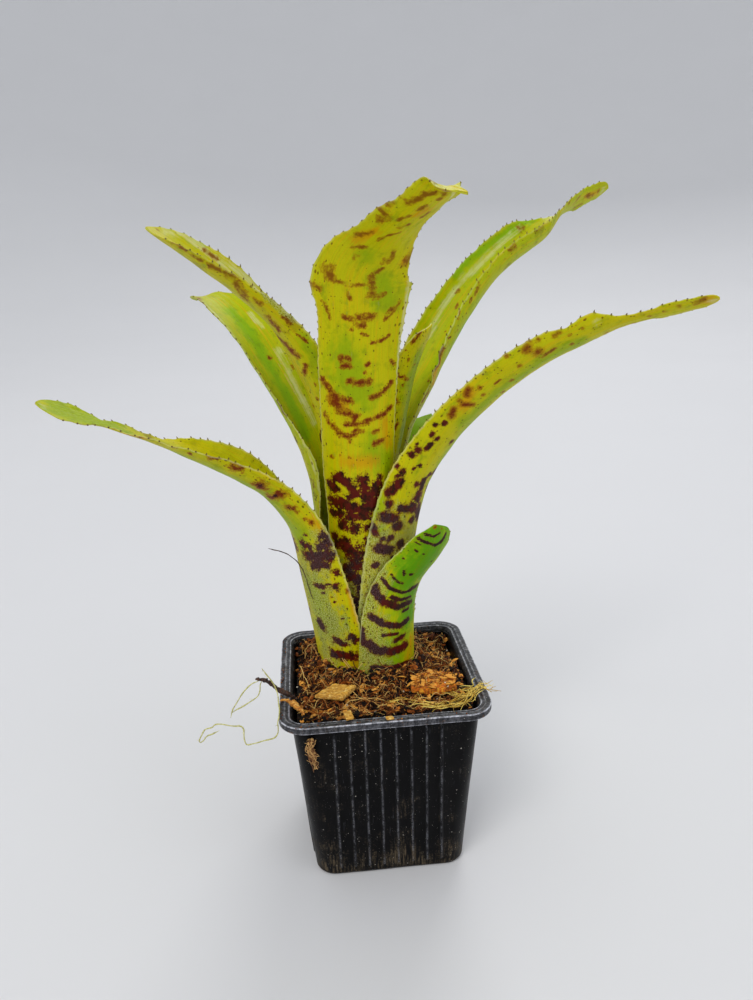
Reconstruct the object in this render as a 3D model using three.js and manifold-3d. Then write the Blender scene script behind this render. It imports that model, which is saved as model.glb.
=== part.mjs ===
// A neoregelia bromeliad growing in a small square nursery pot.
// Millimetres, +Z up. The origin is the centre of the pot's flat foot.
import * as THREE from 'three';
import { mergeVertices } from 'three/addons/utils/BufferGeometryUtils.js';
import Module from 'manifold-3d';

const manifold = await Module();
manifold.setup();

// ---------------------------------------------------------------- driving dimensions
const CLEARANCE = 0.3;            // kept between pieces that rest on each other
const POCKET_CLEARANCE = 0.35;    // between the potting mix and what is bedded in it

const POT_HEIGHT = 65;
const RIM_HALF_WIDTH = 35;
const RIM_LIP_DEPTH = 2.4;        // how far the turned-down lip hangs
const FOOT_HALF_WIDTH = 26.1;
const WALL_TAPER = 0.08;          // half width gained for each millimetre of height
const WALL_THICKNESS = 1.0;
const FLOOR_THICKNESS = 1.2;
const FOOT_STRAIGHT = 19;         // half length of a side's straight run at the foot
const STRAIGHT_GAIN = 0.11;       // and what it gains for each millimetre of height
const POINTS_PER_CORNER = 6;

const RIBS_PER_SIDE = 8;
const RIB_PITCH = 5.03;
const RIB_WIDTH = 1.2;
const RIB_PROUD = 0.6;
const RIB_BOTTOM = 3;
const RIB_TOP = 56;

const DRAIN_DIAMETER_CORNER = 7;
const DRAIN_DIAMETER_SIDE = 6;
const DRAIN_OFFSET = 17;

const PLANT_X = -4.5;             // the rosette stands off the pot's centre
const PLANT_Y = 12;
const STEM_TOP = 57.3;
const STEM_LEVELS = [              // height, and share of the leaf bases' outline
  [36.5, 0.03], [37.5, 0.3], [42, 0.5], [49, 0.62], [53.5, 0.85], [56, 1], [STEM_TOP, 1],
  [STEM_TOP, 0.03],
];
const LEAF_BASE_HEIGHT = 58;

const LEAF_THICKNESS_BASE = 1.1;
const LEAF_THICKNESS_BLADE = 0.75;
const LEAF_THINNING_LENGTH = 0.35; // share of the leaf over which it thins
const LEAF_EDGE_THINNING = 0.5;
const LEAF_STEPS = 21;
const LEAF_SEGMENTS = 6;
const SHEATH_POINTS = 60;
const SHEATH_SPREAD = 4.5;        // degrees either way that a direction's reach is taken over
const POCKET_SPREAD = 9;          // the same where the mix keeps clear of it

const SOIL_EDGE_HEIGHT = 62.6;
const SOIL_MOUND_HEIGHT = 3.6;
const SOIL_MOUND_RADIUS = 17;
const SOIL_MOUND_FALL = 14;
const SOIL_LUMP_HEIGHT = 0.5;
const SOIL_LUMP_LENGTH = 2.2;
const SOIL_HOLLOWS = [            // where the mix has washed down behind the plant
  { x: 27, y: 17, depth: 6, radius: 9 },
  { x: -29, y: 14, depth: 5, radius: 7.7 },
];
const SOIL_POINTS_PER_CORNER = 10;
const SOIL_TOP_RINGS = 8;

const ROOT_COUNT = 6;
const ROOT_RADIUS = 0.9;
const STRAND_RADIUS = 0.28;
const MOSS_RADIUS = 0.45;

// ---------------------------------------------------------------- colours
const COLOUR = {
  pot: '#15171b',
  soil: '#5a3a20',
  stem: '#9aa06a',
  root: '#6b4a2e',
  leafGreen: '#7fa01e',
  leafYellow: '#b3ad10',
  leafDark: '#6d7a30',
  barkPale: '#cf9f52',
  barkDark: '#8a4a22',
  moss: '#b3a545',
  strand: '#c9c98a',
  twig: '#3a2a1d',
  fibre: '#7d7a58',
};

// ---------------------------------------------------------------- leaves
// Each leaf stands on the stem at its own turn about the rosette's axis, in degrees from +X.
// A station of its course is [reach, side, height, half width, fold, roll]: how far the keel
// lies out from the axis, how far it strays sideways, its height above the foot, half the
// leaf's width along its section, half the angle that the section is folded through and how
// far it is rolled about its keel, both in degrees.
const LEAVES = [
  {
    name: 'leaf_low_left',
    turn: 210,
    colour: COLOUR.leafDark,
    course: [
      [15, 0, 58, 19, 73, 0], [18, 0, 80, 17.5, 64, 0], [21.5, 0, 100, 16, 62, 0],
      [26, 0, 119.5, 14, 66, -4], [34, 0, 132, 13, 76, -10], [44, 0, 140.5, 12.5, 80, -15],
      [56, 0, 148.5, 10, 60, -11], [68, 0, 155.5, 6.5, 22, -2], [77, 0, 160.6, 4.6, 24, -9],
      [84, 0, 164.2, 2.6, 18, -18], [92, 0, 167.8, 4.7, 15, -27], [100, 0, 172, 2.2, 10, -27],
    ],
  },
  {
    name: 'leaf_front_short',
    turn: 292,
    colour: COLOUR.leafGreen,
    course: [
      [18.5, 2, 58, 12.5, 40, 0], [19.8, 2.6, 84, 11.4, 38, 0], [20.4, 4.4, 93, 10.9, 43, 0],
      [21.8, 8, 100, 10.6, 50, 0], [24.8, 12.6, 107, 9.9, 48, 0], [28, 14.6, 113.6, 9, 42, 0],
      [29.7, 14.3, 119, 7.4, 32, 0], [30, 14, 121.5, 3.4, 22, 0],
    ],
  },
  {
    name: 'leaf_long_right',
    turn: 335,
    colour: COLOUR.leafYellow,
    course: [
      [13.6, 0, 58, 20, 84, 0], [16.5, 0, 90, 20, 75, 0], [20.5, 0, 114, 19, 72, -5],
      [25, 0, 132, 16, 63, -12], [34, 0, 147, 13.3, 54, -20], [47, 0, 161, 12, 50, -22],
      [63, 0, 173, 11, 50, -23], [80, 0, 182, 7.8, 42, -25], [88, 0, 185, 3.4, 25, -25],
      [101, 0, 188.4, 3.6, 15, -32], [112.4, 0, 191.4, 2.6, 10, -32],
    ],
  },
  {
    name: 'leaf_centre',
    turn: 266,
    colour: COLOUR.leafYellow,
    course: [
      [10.7, 0.5, 58, 16, 86, 0], [12.6, 1.2, 92, 13, 64, 0], [14.5, 1.3, 120, 13, 56, 0],
      [17, 1.6, 143, 13.4, 50, 0], [22, 2.6, 170, 13.4, 42, 0], [28, 4.3, 191, 13.8, 30, 0],
      [32, 5.4, 201, 13.6, 24, 0], [37, 10.6, 208, 10.8, 24, 6], [43, 15.6, 212.8, 8.4, 26, 12],
      [49, 20.6, 216.8, 6.6, 26, 10], [54, 24, 219.6, 6, 24, 2], [57.5, 26, 221.4, 5.6, 20, -4],
      [60.6, 29, 220.4, 2.2, 15, 0], [63, 31, 219.4, 1.2, 10, 0],
    ],
  },
  {
    name: 'leaf_upper_left',
    turn: 200,
    colour: COLOUR.leafYellow,
    course: [
      [6.4, 0, 58, 12, 107, 0], [9, 0, 110, 12, 85, 0], [12.5, 0, 156, 13.2, 74, 0],
      [18, 0, 171.5, 13.5, 71, 0], [27, 0, 187, 12.4, 66, -9], [38.5, 0, 198.5, 11.4, 66, -18],
      [47.5, 0, 205.5, 10.3, 56, -20], [56, 0, 212, 7.8, 40, -20], [61.8, 0, 216.4, 3, 14, -20],
    ],
  },
  {
    name: 'leaf_mid_left',
    turn: 145,
    colour: COLOUR.leafGreen,
    course: [
      [12.2, 0, 58, 15, 70, 0], [13.6, 0, 92, 11, 55, 0], [15.3, 0, 117.5, 11.6, 66, 0],
      [18, 0, 137, 14.5, 86, 0], [22, 0, 147, 13, 72, -2], [30, 0, 162, 12, 58, -6],
      [41, 0, 178.5, 11.5, 46, -6], [53, 0, 191, 10.5, 34, -6], [60, 0, 195, 7, 20, -4],
      [65, 0, 194.2, 2.2, 12, 0],
    ],
  },
  {
    name: 'leaf_upper_right',
    turn: 28,
    colour: COLOUR.leafGreen,
    course: [
      [8, 0, 58, 14.5, 104, 0], [11, 0, 100, 13, 80, 0], [17, 0, 134, 11.5, 60, 0],
      [22, 0, 150, 13, 62, 5], [30.5, 0, 162, 14.2, 68, 5], [46, 0, 181.5, 14.5, 88, 0],
      [65, 0, 199.5, 13.8, 86, -3], [86, 0, 211.5, 12.5, 78, 3], [97, 0, 220, 6.2, 36, -22],
      [108.6, 0, 225.4, 5.2, 18, -52], [118, 0, 228.6, 4.2, 15, -50], [123, 0, 230, 2.4, 10, -45],
    ],
  },
  {
    name: 'leaf_back_short',
    turn: 45,
    colour: COLOUR.leafGreen,
    course: [
      [15.4, 0, 58, 14, 52, 0], [18, 0, 90, 13, 44, 0], [22.2, 0, 115, 11.5, 40, 0],
      [27.5, 0, 132, 9.5, 36, 0], [36, 0, 143, 6.5, 30, 0], [46, 0, 148, 1.5, 10, 0],
    ],
  },
  {
    name: 'leaf_young',
    turn: 345,
    colour: COLOUR.leafYellow,
    course: [
      [4.8, 0, 58, 8.5, 105, 0], [9, 0, 110, 10.5, 88, 0], [14, 0, 136, 11.5, 78, 0],
      [17.8, 0, 152, 12, 74, 0], [21.3, 0, 168.5, 12, 70, 0], [24.5, 0, 176.5, 11, 60, 0],
      [27, 0, 182.5, 7, 40, 0], [27.6, 0, 185, 1, 20, 0],
    ],
  },
  {
    name: 'leaf_heart',
    turn: 120,
    colour: COLOUR.leafGreen,
    course: [
      [2.5, 0, 58, 6.4, 146, 0], [2.5, 0, 90, 6.2, 140, 0], [2.3, 0, 108, 4, 105, 0],
      [1.9, 0, 119, 0.8, 30, 0],
    ],
  },
];

// ---------------------------------------------------------------- things lying on the mix
// Flat pieces of bark: an outline seen from above and the height that its underside lies at.
const BARK_PIECES = [
  {
    name: 'bark_chip_pale',
    colour: COLOUR.barkPale,
    outline: [[-23.2, -16.9], [-13.8, -20.2], [-8.6, -12.7], [-16.6, -10.2]],
    underside: 64.6,
    thickness: 1.9,
  },
  {
    name: 'bark_chunk_right',
    colour: COLOUR.barkDark,
    outline: [[9, -17], [18, -20.5], [25, -18], [26.2, -9], [19, -6.4], [11, -9.5]],
    underside: 63.6,
    thickness: 2.6,
  },
  {
    name: 'bark_chunk_back',
    colour: COLOUR.barkDark,
    outline: [[15.4, -5], [25.4, -6.8], [27, 2.5], [22.5, 7.8], [17.6, 2.6]],
    underside: 62.4,
    thickness: 2.4,
  },
  {
    name: 'rim_chip_left',
    colour: COLOUR.barkPale,
    outline: [[-14.2, -28.4], [-13.4, -33], [-10.8, -32.6], [-11.6, -27.8]],
    underside: POT_HEIGHT + CLEARANCE,
    thickness: 0.9,
  },
  {
    name: 'rim_chip_middle',
    colour: COLOUR.barkPale,
    outline: [[-0.9, -33.2], [-0.5, -34.7], [1.9, -34.5], [1.4, -33]],
    underside: POT_HEIGHT + CLEARANCE,
    thickness: 0.7,
  },
];

const BARK_BEVEL = 0.35;

// Round sticks, strands and fibres: points along the middle and a radius.
const STRANDS = [
  {
    name: 'bark_stick',
    colour: COLOUR.barkDark,
    radius: 0.85,
    steps: 8,
    points: [[-34, -18.5, 66.3], [-31.6, -20, 66.4], [-29, -23.6, 66.4], [-26.6, -28.6, 66.3]],
  },
  {
    name: 'debris_twig',
    colour: COLOUR.twig,
    radius: 0.6,
    steps: 8,
    points: [
      [-41.5, -15.5, 73], [-38.4, -15.5, 71.8], [-36.2, -15.5, 69.6], [-34.2, -15.6, 67.8],
      [-31.4, -15.2, 66], [-29.2, -15, 64],
    ],
  },
  {
    name: 'moss_strand_1',
    colour: COLOUR.moss,
    radius: MOSS_RADIUS,
    steps: 16,
    points: [
      [0, -23.6, 66.1], [5.7, -21.6, 66.2], [11.7, -23.7, 66.2], [19.5, -26.6, 66.2],
      [26.9, -23.3, 66.2], [33.1, -18.6, 66.1], [36.4, -17.8, 65.9],
    ],
  },
  {
    name: 'moss_strand_2',
    colour: COLOUR.moss,
    radius: MOSS_RADIUS,
    steps: 12,
    points: [
      [10.8, -29.6, 66.1], [17.2, -30.6, 66.1], [22.6, -28.9, 66.1], [28.5, -25.4, 66.1],
      [33.6, -20.9, 66.1], [36, -20, 65.9],
    ],
  },
  {
    name: 'moss_strand_3',
    colour: COLOUR.moss,
    radius: MOSS_RADIUS,
    steps: 10,
    points: [
      [21.8, -22.4, 67.3], [27.5, -25.2, 67.5], [32.2, -22.2, 67.5], [35.4, -25.2, 66.6],
    ],
  },
  {
    name: 'hanging_strand_long',
    colour: COLOUR.strand,
    radius: STRAND_RADIUS,
    steps: 60,
    points: [
      [-39.9, -17, 77.6], [-38.6, -17, 75.5], [-37.4, -17, 73.4], [-36.1, -17, 70.8],
      [-35.4, -17.8, 68.3], [-35.1, -19.2, 66.4], [-34.9, -22, 65.8], [-34.7, -25.4, 65.7],
      [-34.9, -28, 65.5], [-35.3, -28.8, 64.2], [-35.2, -29, 62.4], [-35.6, -29, 60.4],
      [-36.9, -29, 58.8], [-40.5, -29, 58.1], [-43.8, -29, 57.3], [-45.7, -29, 57.3],
      [-46.3, -29, 59.2], [-46.2, -29, 62.2], [-46.9, -28.9, 64], [-48.9, -28.8, 64.3],
      [-51.4, -28.5, 64.6], [-53.6, -28, 65], [-55.2, -27.5, 64.6], [-56.5, -27, 63.3],
      [-58.5, -26.5, 62.6], [-60, -26, 60.5], [-61.1, -25.6, 58.2], [-60.9, -25, 56.9],
      [-59.9, -24.6, 57.4], [-58.8, -24.4, 58.7], [-56.7, -24, 59.1], [-54.7, -23.8, 60],
    ],
  },
  {
    name: 'hanging_strand_upper',
    colour: COLOUR.strand,
    radius: STRAND_RADIUS,
    steps: 18,
    points: [
      [-41.7, -15.6, 71.9], [-43.8, -16, 71.6], [-46, -16.5, 69.9], [-48.2, -17, 67],
      [-50.2, -17.5, 64.1], [-51.5, -18, 60.8],
    ],
  },
  {
    name: 'hanging_strand_lower',
    colour: COLOUR.strand,
    radius: STRAND_RADIUS,
    steps: 18,
    points: [
      [-40.4, -15.1, 71.7], [-41, -14.8, 70.2], [-41.4, -14.9, 68], [-42.6, -15.4, 66.1],
      [-45.6, -16.2, 64.6], [-48.6, -17, 63.4],
    ],
  },
  {
    name: 'dry_hair',
    colour: COLOUR.twig,
    radius: 0.22,
    steps: 14,
    points: [
      [-35.6, -2.4, 114.2], [-30.1, -1.9, 112], [-26.3, -1.2, 108.4], [-24.2, -0.8, 104],
      [-22.9, -0.5, 98.4], [-21.8, -0.1, 93.5],
    ],
  },
  {
    name: 'fibre_clump',
    colour: COLOUR.fibre,
    radius: 1.1,
    steps: 8,
    points: [
      [-24.4, -32.8, 59.8], [-25.4, -32.9, 57], [-24.8, -32.8, 52.8], [-23.8, -32.4, 47.6],
    ],
  },
];

// Roots leave the stem's side and spread down towards the pot's walls.
const ROOT_START_SHARE = 0.57;
const ROOT_START_HEIGHT = 46;
const ROOT_END_RADIUS = 20;
const ROOT_END_HEIGHT = 14;
const ROOT_WAY_GROWTH = 0.6;

// ---------------------------------------------------------------- solids and meshes
const model = new THREE.Group();

function addMesh(name, geometry, colour, roughness) {
  if (!geometry.attributes.normal) {
    geometry.computeVertexNormals();
  }
  const material = new THREE.MeshStandardMaterial({ color: colour, roughness, metalness: 0 });
  const mesh = new THREE.Mesh(geometry, material);
  mesh.name = name;
  model.add(mesh);
  return mesh;
}

function signedVolume(geometry) {
  const position = geometry.attributes.position;
  const index = geometry.index;
  const a = new THREE.Vector3();
  const b = new THREE.Vector3();
  const c = new THREE.Vector3();
  let volume = 0;
  for (let i = 0; i < index.count; i += 3) {
    a.fromBufferAttribute(position, index.getX(i));
    b.fromBufferAttribute(position, index.getX(i + 1));
    c.fromBufferAttribute(position, index.getX(i + 2));
    volume += a.dot(b.cross(c)) / 6;
  }
  return volume;
}

// A closed skin over rings with equal numbers of points. Each end is closed by a strip that
// joins the first half of its ring to the second half.
function loft(rings) {
  const count = rings[0].length;
  const triangles = [];
  for (let ring = 0; ring < rings.length - 1; ring += 1) {
    for (let i = 0; i < count; i += 1) {
      const a = ring * count + i;
      const b = ring * count + ((i + 1) % count);
      triangles.push(a, b, b + count, a, b + count, a + count);
    }
  }
  const last = (rings.length - 1) * count;
  for (let i = 0; i < count / 2 - 1; i += 1) {
    const j = count - 1 - i;
    triangles.push(i, j, i + 1, i + 1, j, j - 1);
    triangles.push(last + i, last + i + 1, last + j, last + i + 1, last + j - 1, last + j);
  }
  const geometry = new THREE.BufferGeometry().setFromPoints(rings.flat());
  geometry.setIndex(triangles);
  if (signedVolume(geometry) < 0) {
    geometry.setIndex(triangles.reverse());
  }
  return geometry;
}

function toSolid(geometry) {
  const bare = geometry.clone();
  bare.deleteAttribute('normal');
  bare.deleteAttribute('uv');
  const merged = mergeVertices(bare);
  return new manifold.Manifold(new manifold.Mesh({
    numProp: 3,
    vertProperties: new Float32Array(merged.attributes.position.array),
    triVerts: new Uint32Array(merged.index.array),
  }));
}

function toGeometry(solid) {
  const mesh = solid.getMesh();
  const geometry = new THREE.BufferGeometry();
  geometry.setAttribute('position', new THREE.BufferAttribute(mesh.vertProperties, 3));
  geometry.setIndex(new THREE.BufferAttribute(mesh.triVerts, 1));
  return geometry;
}

function tube(points, radius, sides, steps) {
  const path = new THREE.CatmullRomCurve3(points);
  const section = new THREE.Shape();
  for (let i = 0; i < sides; i += 1) {
    const angle = (i / sides) * 2 * Math.PI;
    const corner = [radius * Math.cos(angle), radius * Math.sin(angle)];
    if (i === 0) {
      section.moveTo(...corner);
    } else {
      section.lineTo(...corner);
    }
  }
  section.closePath();
  return new THREE.ExtrudeGeometry(section, { steps, extrudePath: path, bevelEnabled: false });
}

// ---------------------------------------------------------------- the pot
function straightRun(height) {
  return FOOT_STRAIGHT + STRAIGHT_GAIN * height;
}

function wallHalfWidth(height) {
  return FOOT_HALF_WIDTH + WALL_TAPER * height;
}

function innerHalfWidth(height) {
  return wallHalfWidth(height) - WALL_THICKNESS;
}

// A square with round corners, seen from above, at one height.
function squareRing(halfWidth, height, pointsPerCorner) {
  const straight = straightRun(height);
  const radius = halfWidth - straight;
  const points = [];
  for (let corner = 0; corner < 4; corner += 1) {
    const middle = (corner * Math.PI) / 2 + Math.PI / 4;
    const centreX = straight * Math.sign(Math.cos(middle));
    const centreY = straight * Math.sign(Math.sin(middle));
    for (let i = 0; i <= pointsPerCorner; i += 1) {
      const angle = (corner + i / pointsPerCorner) * (Math.PI / 2);
      points.push(new THREE.Vector3(
        centreX + radius * Math.cos(angle),
        centreY + radius * Math.sin(angle),
        height,
      ));
    }
  }
  return points;
}

function potShell() {
  const lipBottom = POT_HEIGHT - RIM_LIP_DEPTH;
  const underRim = POT_HEIGHT - WALL_THICKNESS;
  const profile = [
    [FOOT_HALF_WIDTH - 0.7, 0],
    [FOOT_HALF_WIDTH, 1],
    [wallHalfWidth(RIB_TOP + 2), RIB_TOP + 2],
    [wallHalfWidth(underRim), underRim],
    [RIM_HALF_WIDTH - WALL_THICKNESS, underRim],
    [RIM_HALF_WIDTH - WALL_THICKNESS, lipBottom],
    [RIM_HALF_WIDTH, lipBottom],
    [RIM_HALF_WIDTH, POT_HEIGHT - 0.6],
    [RIM_HALF_WIDTH - 0.7, POT_HEIGHT],
    [RIM_HALF_WIDTH - 2.2, POT_HEIGHT],
    [RIM_HALF_WIDTH - 2.8, POT_HEIGHT - 0.4],
    [RIM_HALF_WIDTH - 3.4, POT_HEIGHT - 0.1],
    [innerHalfWidth(POT_HEIGHT - 2.5), POT_HEIGHT - 2.5],
    [innerHalfWidth(FLOOR_THICKNESS), FLOOR_THICKNESS],
  ];
  return loft(profile.map(([half, height]) => squareRing(half, height, POINTS_PER_CORNER)));
}

// One rib on the +X side, sunk half way into the wall.
function rib(offset) {
  const rings = [RIB_BOTTOM, RIB_TOP].map((height) => {
    const inner = wallHalfWidth(height) - WALL_THICKNESS / 2;
    const outer = wallHalfWidth(height) + RIB_PROUD;
    return [
      new THREE.Vector3(inner, offset - RIB_WIDTH / 2, height),
      new THREE.Vector3(outer, offset - RIB_WIDTH / 3, height),
      new THREE.Vector3(outer, offset + RIB_WIDTH / 3, height),
      new THREE.Vector3(inner, offset + RIB_WIDTH / 2, height),
    ];
  });
  return loft(rings);
}

function drainHole(x, y, diameter) {
  const hole = new THREE.CylinderGeometry(diameter / 2, diameter / 2, 4 * FLOOR_THICKNESS, 12);
  hole.rotateX(Math.PI / 2);
  hole.translate(x, y, 0);
  return toSolid(hole);
}

function buildPot() {
  let pot = toSolid(potShell());
  for (let side = 0; side < 4; side += 1) {
    for (let i = 0; i < RIBS_PER_SIDE; i += 1) {
      const strip = rib((i - (RIBS_PER_SIDE - 1) / 2) * RIB_PITCH);
      strip.rotateZ((side * Math.PI) / 2);
      pot = pot.add(toSolid(strip));
    }
  }
  for (const x of [-1, 0, 1]) {
    for (const y of [-1, 0, 1]) {
      const diameter = x !== 0 && y !== 0 ? DRAIN_DIAMETER_CORNER : DRAIN_DIAMETER_SIDE;
      if (x !== 0 || y !== 0) {
        pot = pot.subtract(drainHole(x * DRAIN_OFFSET, y * DRAIN_OFFSET, diameter));
      }
    }
  }
  addMesh('nursery_pot', toGeometry(pot), COLOUR.pot, 0.45);
}

// ---------------------------------------------------------------- leaf shapes
// Smooth values along a leaf's course. Knots are spaced by the square root of the distance
// between stations, and each slope blends the runs on both sides.
function courseAt(course, knots, t) {
  const slope = (from, to, k) => (course[to][k] - course[from][k]) / (knots[to] - knots[from]);
  const tangent = (i, k) => {
    if (i === 0) {
      return slope(0, 1, k);
    }
    if (i === course.length - 1) {
      return slope(i - 1, i, k);
    }
    const before = knots[i] - knots[i - 1];
    const after = knots[i + 1] - knots[i];
    return (slope(i - 1, i, k) * after + slope(i, i + 1, k) * before) / (after + before);
  };
  let i = 0;
  while (i < course.length - 2 && t >= knots[i + 1]) {
    i += 1;
  }
  const span = knots[i + 1] - knots[i];
  const s = (t - knots[i]) / span;
  const start = 2 * s ** 3 - 3 * s ** 2 + 1;
  return course[i].map((value, k) => start * value
    + (s ** 3 - 2 * s ** 2 + s) * span * tangent(i, k)
    + (1 - start) * course[i + 1][k]
    + (s ** 3 - s ** 2) * span * tangent(i + 1, k));
}

function courseKnots(course) {
  const knots = [0];
  for (let i = 1; i < course.length; i += 1) {
    const run = Math.hypot(...[0, 1, 2].map((k) => course[i][k] - course[i - 1][k]));
    knots.push(knots[i - 1] + Math.sqrt(run));
  }
  return knots.map((knot) => knot / knots[knots.length - 1]);
}

// Stations at even lengths along the keel.
function evenStations(course, steps) {
  const knots = courseKnots(course);
  const fineCount = 400;
  const fine = [];
  const lengths = [0];
  for (let i = 0; i <= fineCount; i += 1) {
    fine.push(courseAt(course, knots, i / fineCount));
    if (i > 0) {
      const run = Math.hypot(...[0, 1, 2].map((k) => fine[i][k] - fine[i - 1][k]));
      lengths.push(lengths[i - 1] + run);
    }
  }
  const stations = [];
  let i = 0;
  for (let step = 0; step <= steps; step += 1) {
    const goal = (lengths[fineCount] * step) / steps;
    while (i < fineCount - 1 && lengths[i + 1] < goal) {
      i += 1;
    }
    const share = (goal - lengths[i]) / (lengths[i + 1] - lengths[i]);
    stations.push(fine[i].map((value, k) => value + share * (fine[i + 1][k] - value)));
  }
  return stations;
}

function leafThickness(along, across) {
  const thinned = Math.min(along / LEAF_THINNING_LENGTH, 1);
  const middle = THREE.MathUtils.lerp(LEAF_THICKNESS_BASE, LEAF_THICKNESS_BLADE, thinned);
  return middle * (1 - LEAF_EDGE_THINNING * across * across);
}

// Rings of a leaf: its outer face from edge to edge and its inner face back again.
function leafRings(leaf, steps, segments) {
  const turn = THREE.MathUtils.degToRad(leaf.turn);
  const outward = new THREE.Vector3(Math.cos(turn), Math.sin(turn), 0);
  const aside = new THREE.Vector3(-Math.sin(turn), Math.cos(turn), 0);
  const up = new THREE.Vector3(0, 0, 1);
  const stations = evenStations(leaf.course, steps);
  const keel = stations.map(([reach, side, height]) => new THREE.Vector3(PLANT_X, PLANT_Y, 0)
    .addScaledVector(outward, reach)
    .addScaledVector(aside, side)
    .addScaledVector(up, height));
  return stations.map(([, , , halfWidth, foldDegrees, rollDegrees], i) => {
    const before = keel[Math.max(i - 1, 0)];
    const after = keel[Math.min(i + 1, steps)];
    const along = after.clone().sub(before).normalize();
    const flat = aside.clone().addScaledVector(along, -aside.dot(along)).normalize();
    const inward = new THREE.Vector3().crossVectors(along, flat);
    if (inward.dot(up) < inward.dot(outward)) {
      inward.negate();
    }
    const roll = THREE.MathUtils.degToRad(rollDegrees);
    const wide = flat.clone().multiplyScalar(Math.cos(roll))
      .addScaledVector(inward, Math.sin(roll));
    const deep = inward.clone().multiplyScalar(Math.cos(roll))
      .addScaledVector(flat, -Math.sin(roll));
    const fold = THREE.MathUtils.degToRad(foldDegrees);
    const radius = halfWidth / fold;
    const outer = [];
    const inner = [];
    for (let j = 0; j <= segments; j += 1) {
      const across = (2 * j) / segments - 1;
      const angle = across * fold;
      const middle = keel[i].clone()
        .addScaledVector(wide, radius * Math.sin(angle))
        .addScaledVector(deep, radius * (1 - Math.cos(angle)));
      const normal = deep.clone().multiplyScalar(Math.cos(angle))
        .addScaledVector(wide, -Math.sin(angle));
      const half = leafThickness(i / steps, across) / 2;
      outer.push(middle.clone().addScaledVector(normal, -half));
      inner.unshift(middle.clone().addScaledVector(normal, half));
    }
    return [...outer, ...inner];
  });
}

function buildLeaves() {
  for (const leaf of LEAVES) {
    addMesh(leaf.name, loft(leafRings(leaf, LEAF_STEPS, LEAF_SEGMENTS)), leaf.colour, 0.45);
  }
}

// ---------------------------------------------------------------- stem and roots
const basePoints = LEAVES.flatMap((leaf) => leafRings(leaf, 60, 48).flat())
  .filter((point) => point.z < LEAF_BASE_HEIGHT + 22);

// How far the leaves' bases reach out from the axis in one direction, near one height.
function sheathReach(angle, height, spread) {
  const widest = Math.cos(THREE.MathUtils.degToRad(spread));
  let reach = 0;
  for (const point of basePoints) {
    const x = point.x - PLANT_X;
    const y = point.y - PLANT_Y;
    const distance = Math.hypot(x, y);
    const facing = (x * Math.cos(angle) + y * Math.sin(angle)) / distance;
    if (facing > widest && Math.abs(point.z - height) < 3) {
      reach = Math.max(reach, distance);
    }
  }
  return reach;
}

function roundAxis(radius, angle, height) {
  return new THREE.Vector3(
    PLANT_X + radius * Math.cos(angle),
    PLANT_Y + radius * Math.sin(angle),
    height,
  );
}

// A ring that follows the leaves' bases, scaled by share and grown by growth.
function sheathRing(reachHeight, height, share, growth) {
  const spread = growth > 0 ? POCKET_SPREAD : SHEATH_SPREAD;
  const ring = [];
  for (let i = 0; i < SHEATH_POINTS; i += 1) {
    const angle = (i / SHEATH_POINTS) * 2 * Math.PI;
    const reach = sheathReach(angle, reachHeight, spread);
    ring.push(roundAxis(share * reach + growth, angle, height));
  }
  return ring;
}

function stemShape(growth) {
  return loft(STEM_LEVELS.map(([height, share]) => {
    const lift = height < STEM_TOP ? -growth : growth;
    return sheathRing(LEAF_BASE_HEIGHT + 2, height + lift, share, growth);
  }));
}

function rootPoints(index) {
  const angle = ((index + 0.5) / ROOT_COUNT) * 2 * Math.PI;
  const reach = sheathReach(angle, LEAF_BASE_HEIGHT + 2, 2 * POCKET_SPREAD);
  const side = ROOT_START_SHARE * reach + 4 * CLEARANCE;
  const start = roundAxis(side, angle, ROOT_START_HEIGHT);
  const end = new THREE.Vector3(
    ROOT_END_RADIUS * Math.cos(angle),
    ROOT_END_RADIUS * Math.sin(angle),
    ROOT_END_HEIGHT,
  );
  const middle = start.clone().lerp(end, 0.5).setZ(36);
  const bend = end.clone().setZ(26);
  return [start, middle, bend, end];
}

// The way that a root takes through the mix, open to the stem's hollow and longer than it.
function rootWay(index) {
  const [start, middle, bend, end] = rootPoints(index);
  const inner = start.clone().addScaledVector(middle.clone().sub(start).normalize(), -2);
  const beyond = end.clone().setZ(ROOT_END_HEIGHT - 1);
  return tube([inner, start, middle, bend, end, beyond], ROOT_RADIUS + ROOT_WAY_GROWTH, 8, 12);
}

// ---------------------------------------------------------------- the potting mix
function soilHeight(x, y) {
  const distance = Math.hypot(x - PLANT_X, y - PLANT_Y);
  const rise = THREE.MathUtils.smoothstep(
    SOIL_MOUND_RADIUS + SOIL_MOUND_FALL - distance,
    0,
    SOIL_MOUND_FALL,
  );
  const lumps = SOIL_LUMP_HEIGHT * Math.sin(x / SOIL_LUMP_LENGTH) * Math.cos(y / SOIL_LUMP_LENGTH);
  let dip = 0;
  for (const hollow of SOIL_HOLLOWS) {
    const away = Math.hypot(x - hollow.x, y - hollow.y) / hollow.radius;
    dip += hollow.depth * Math.exp(-away * away);
  }
  return SOIL_EDGE_HEIGHT + SOIL_MOUND_HEIGHT * rise + lumps - dip;
}

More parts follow.
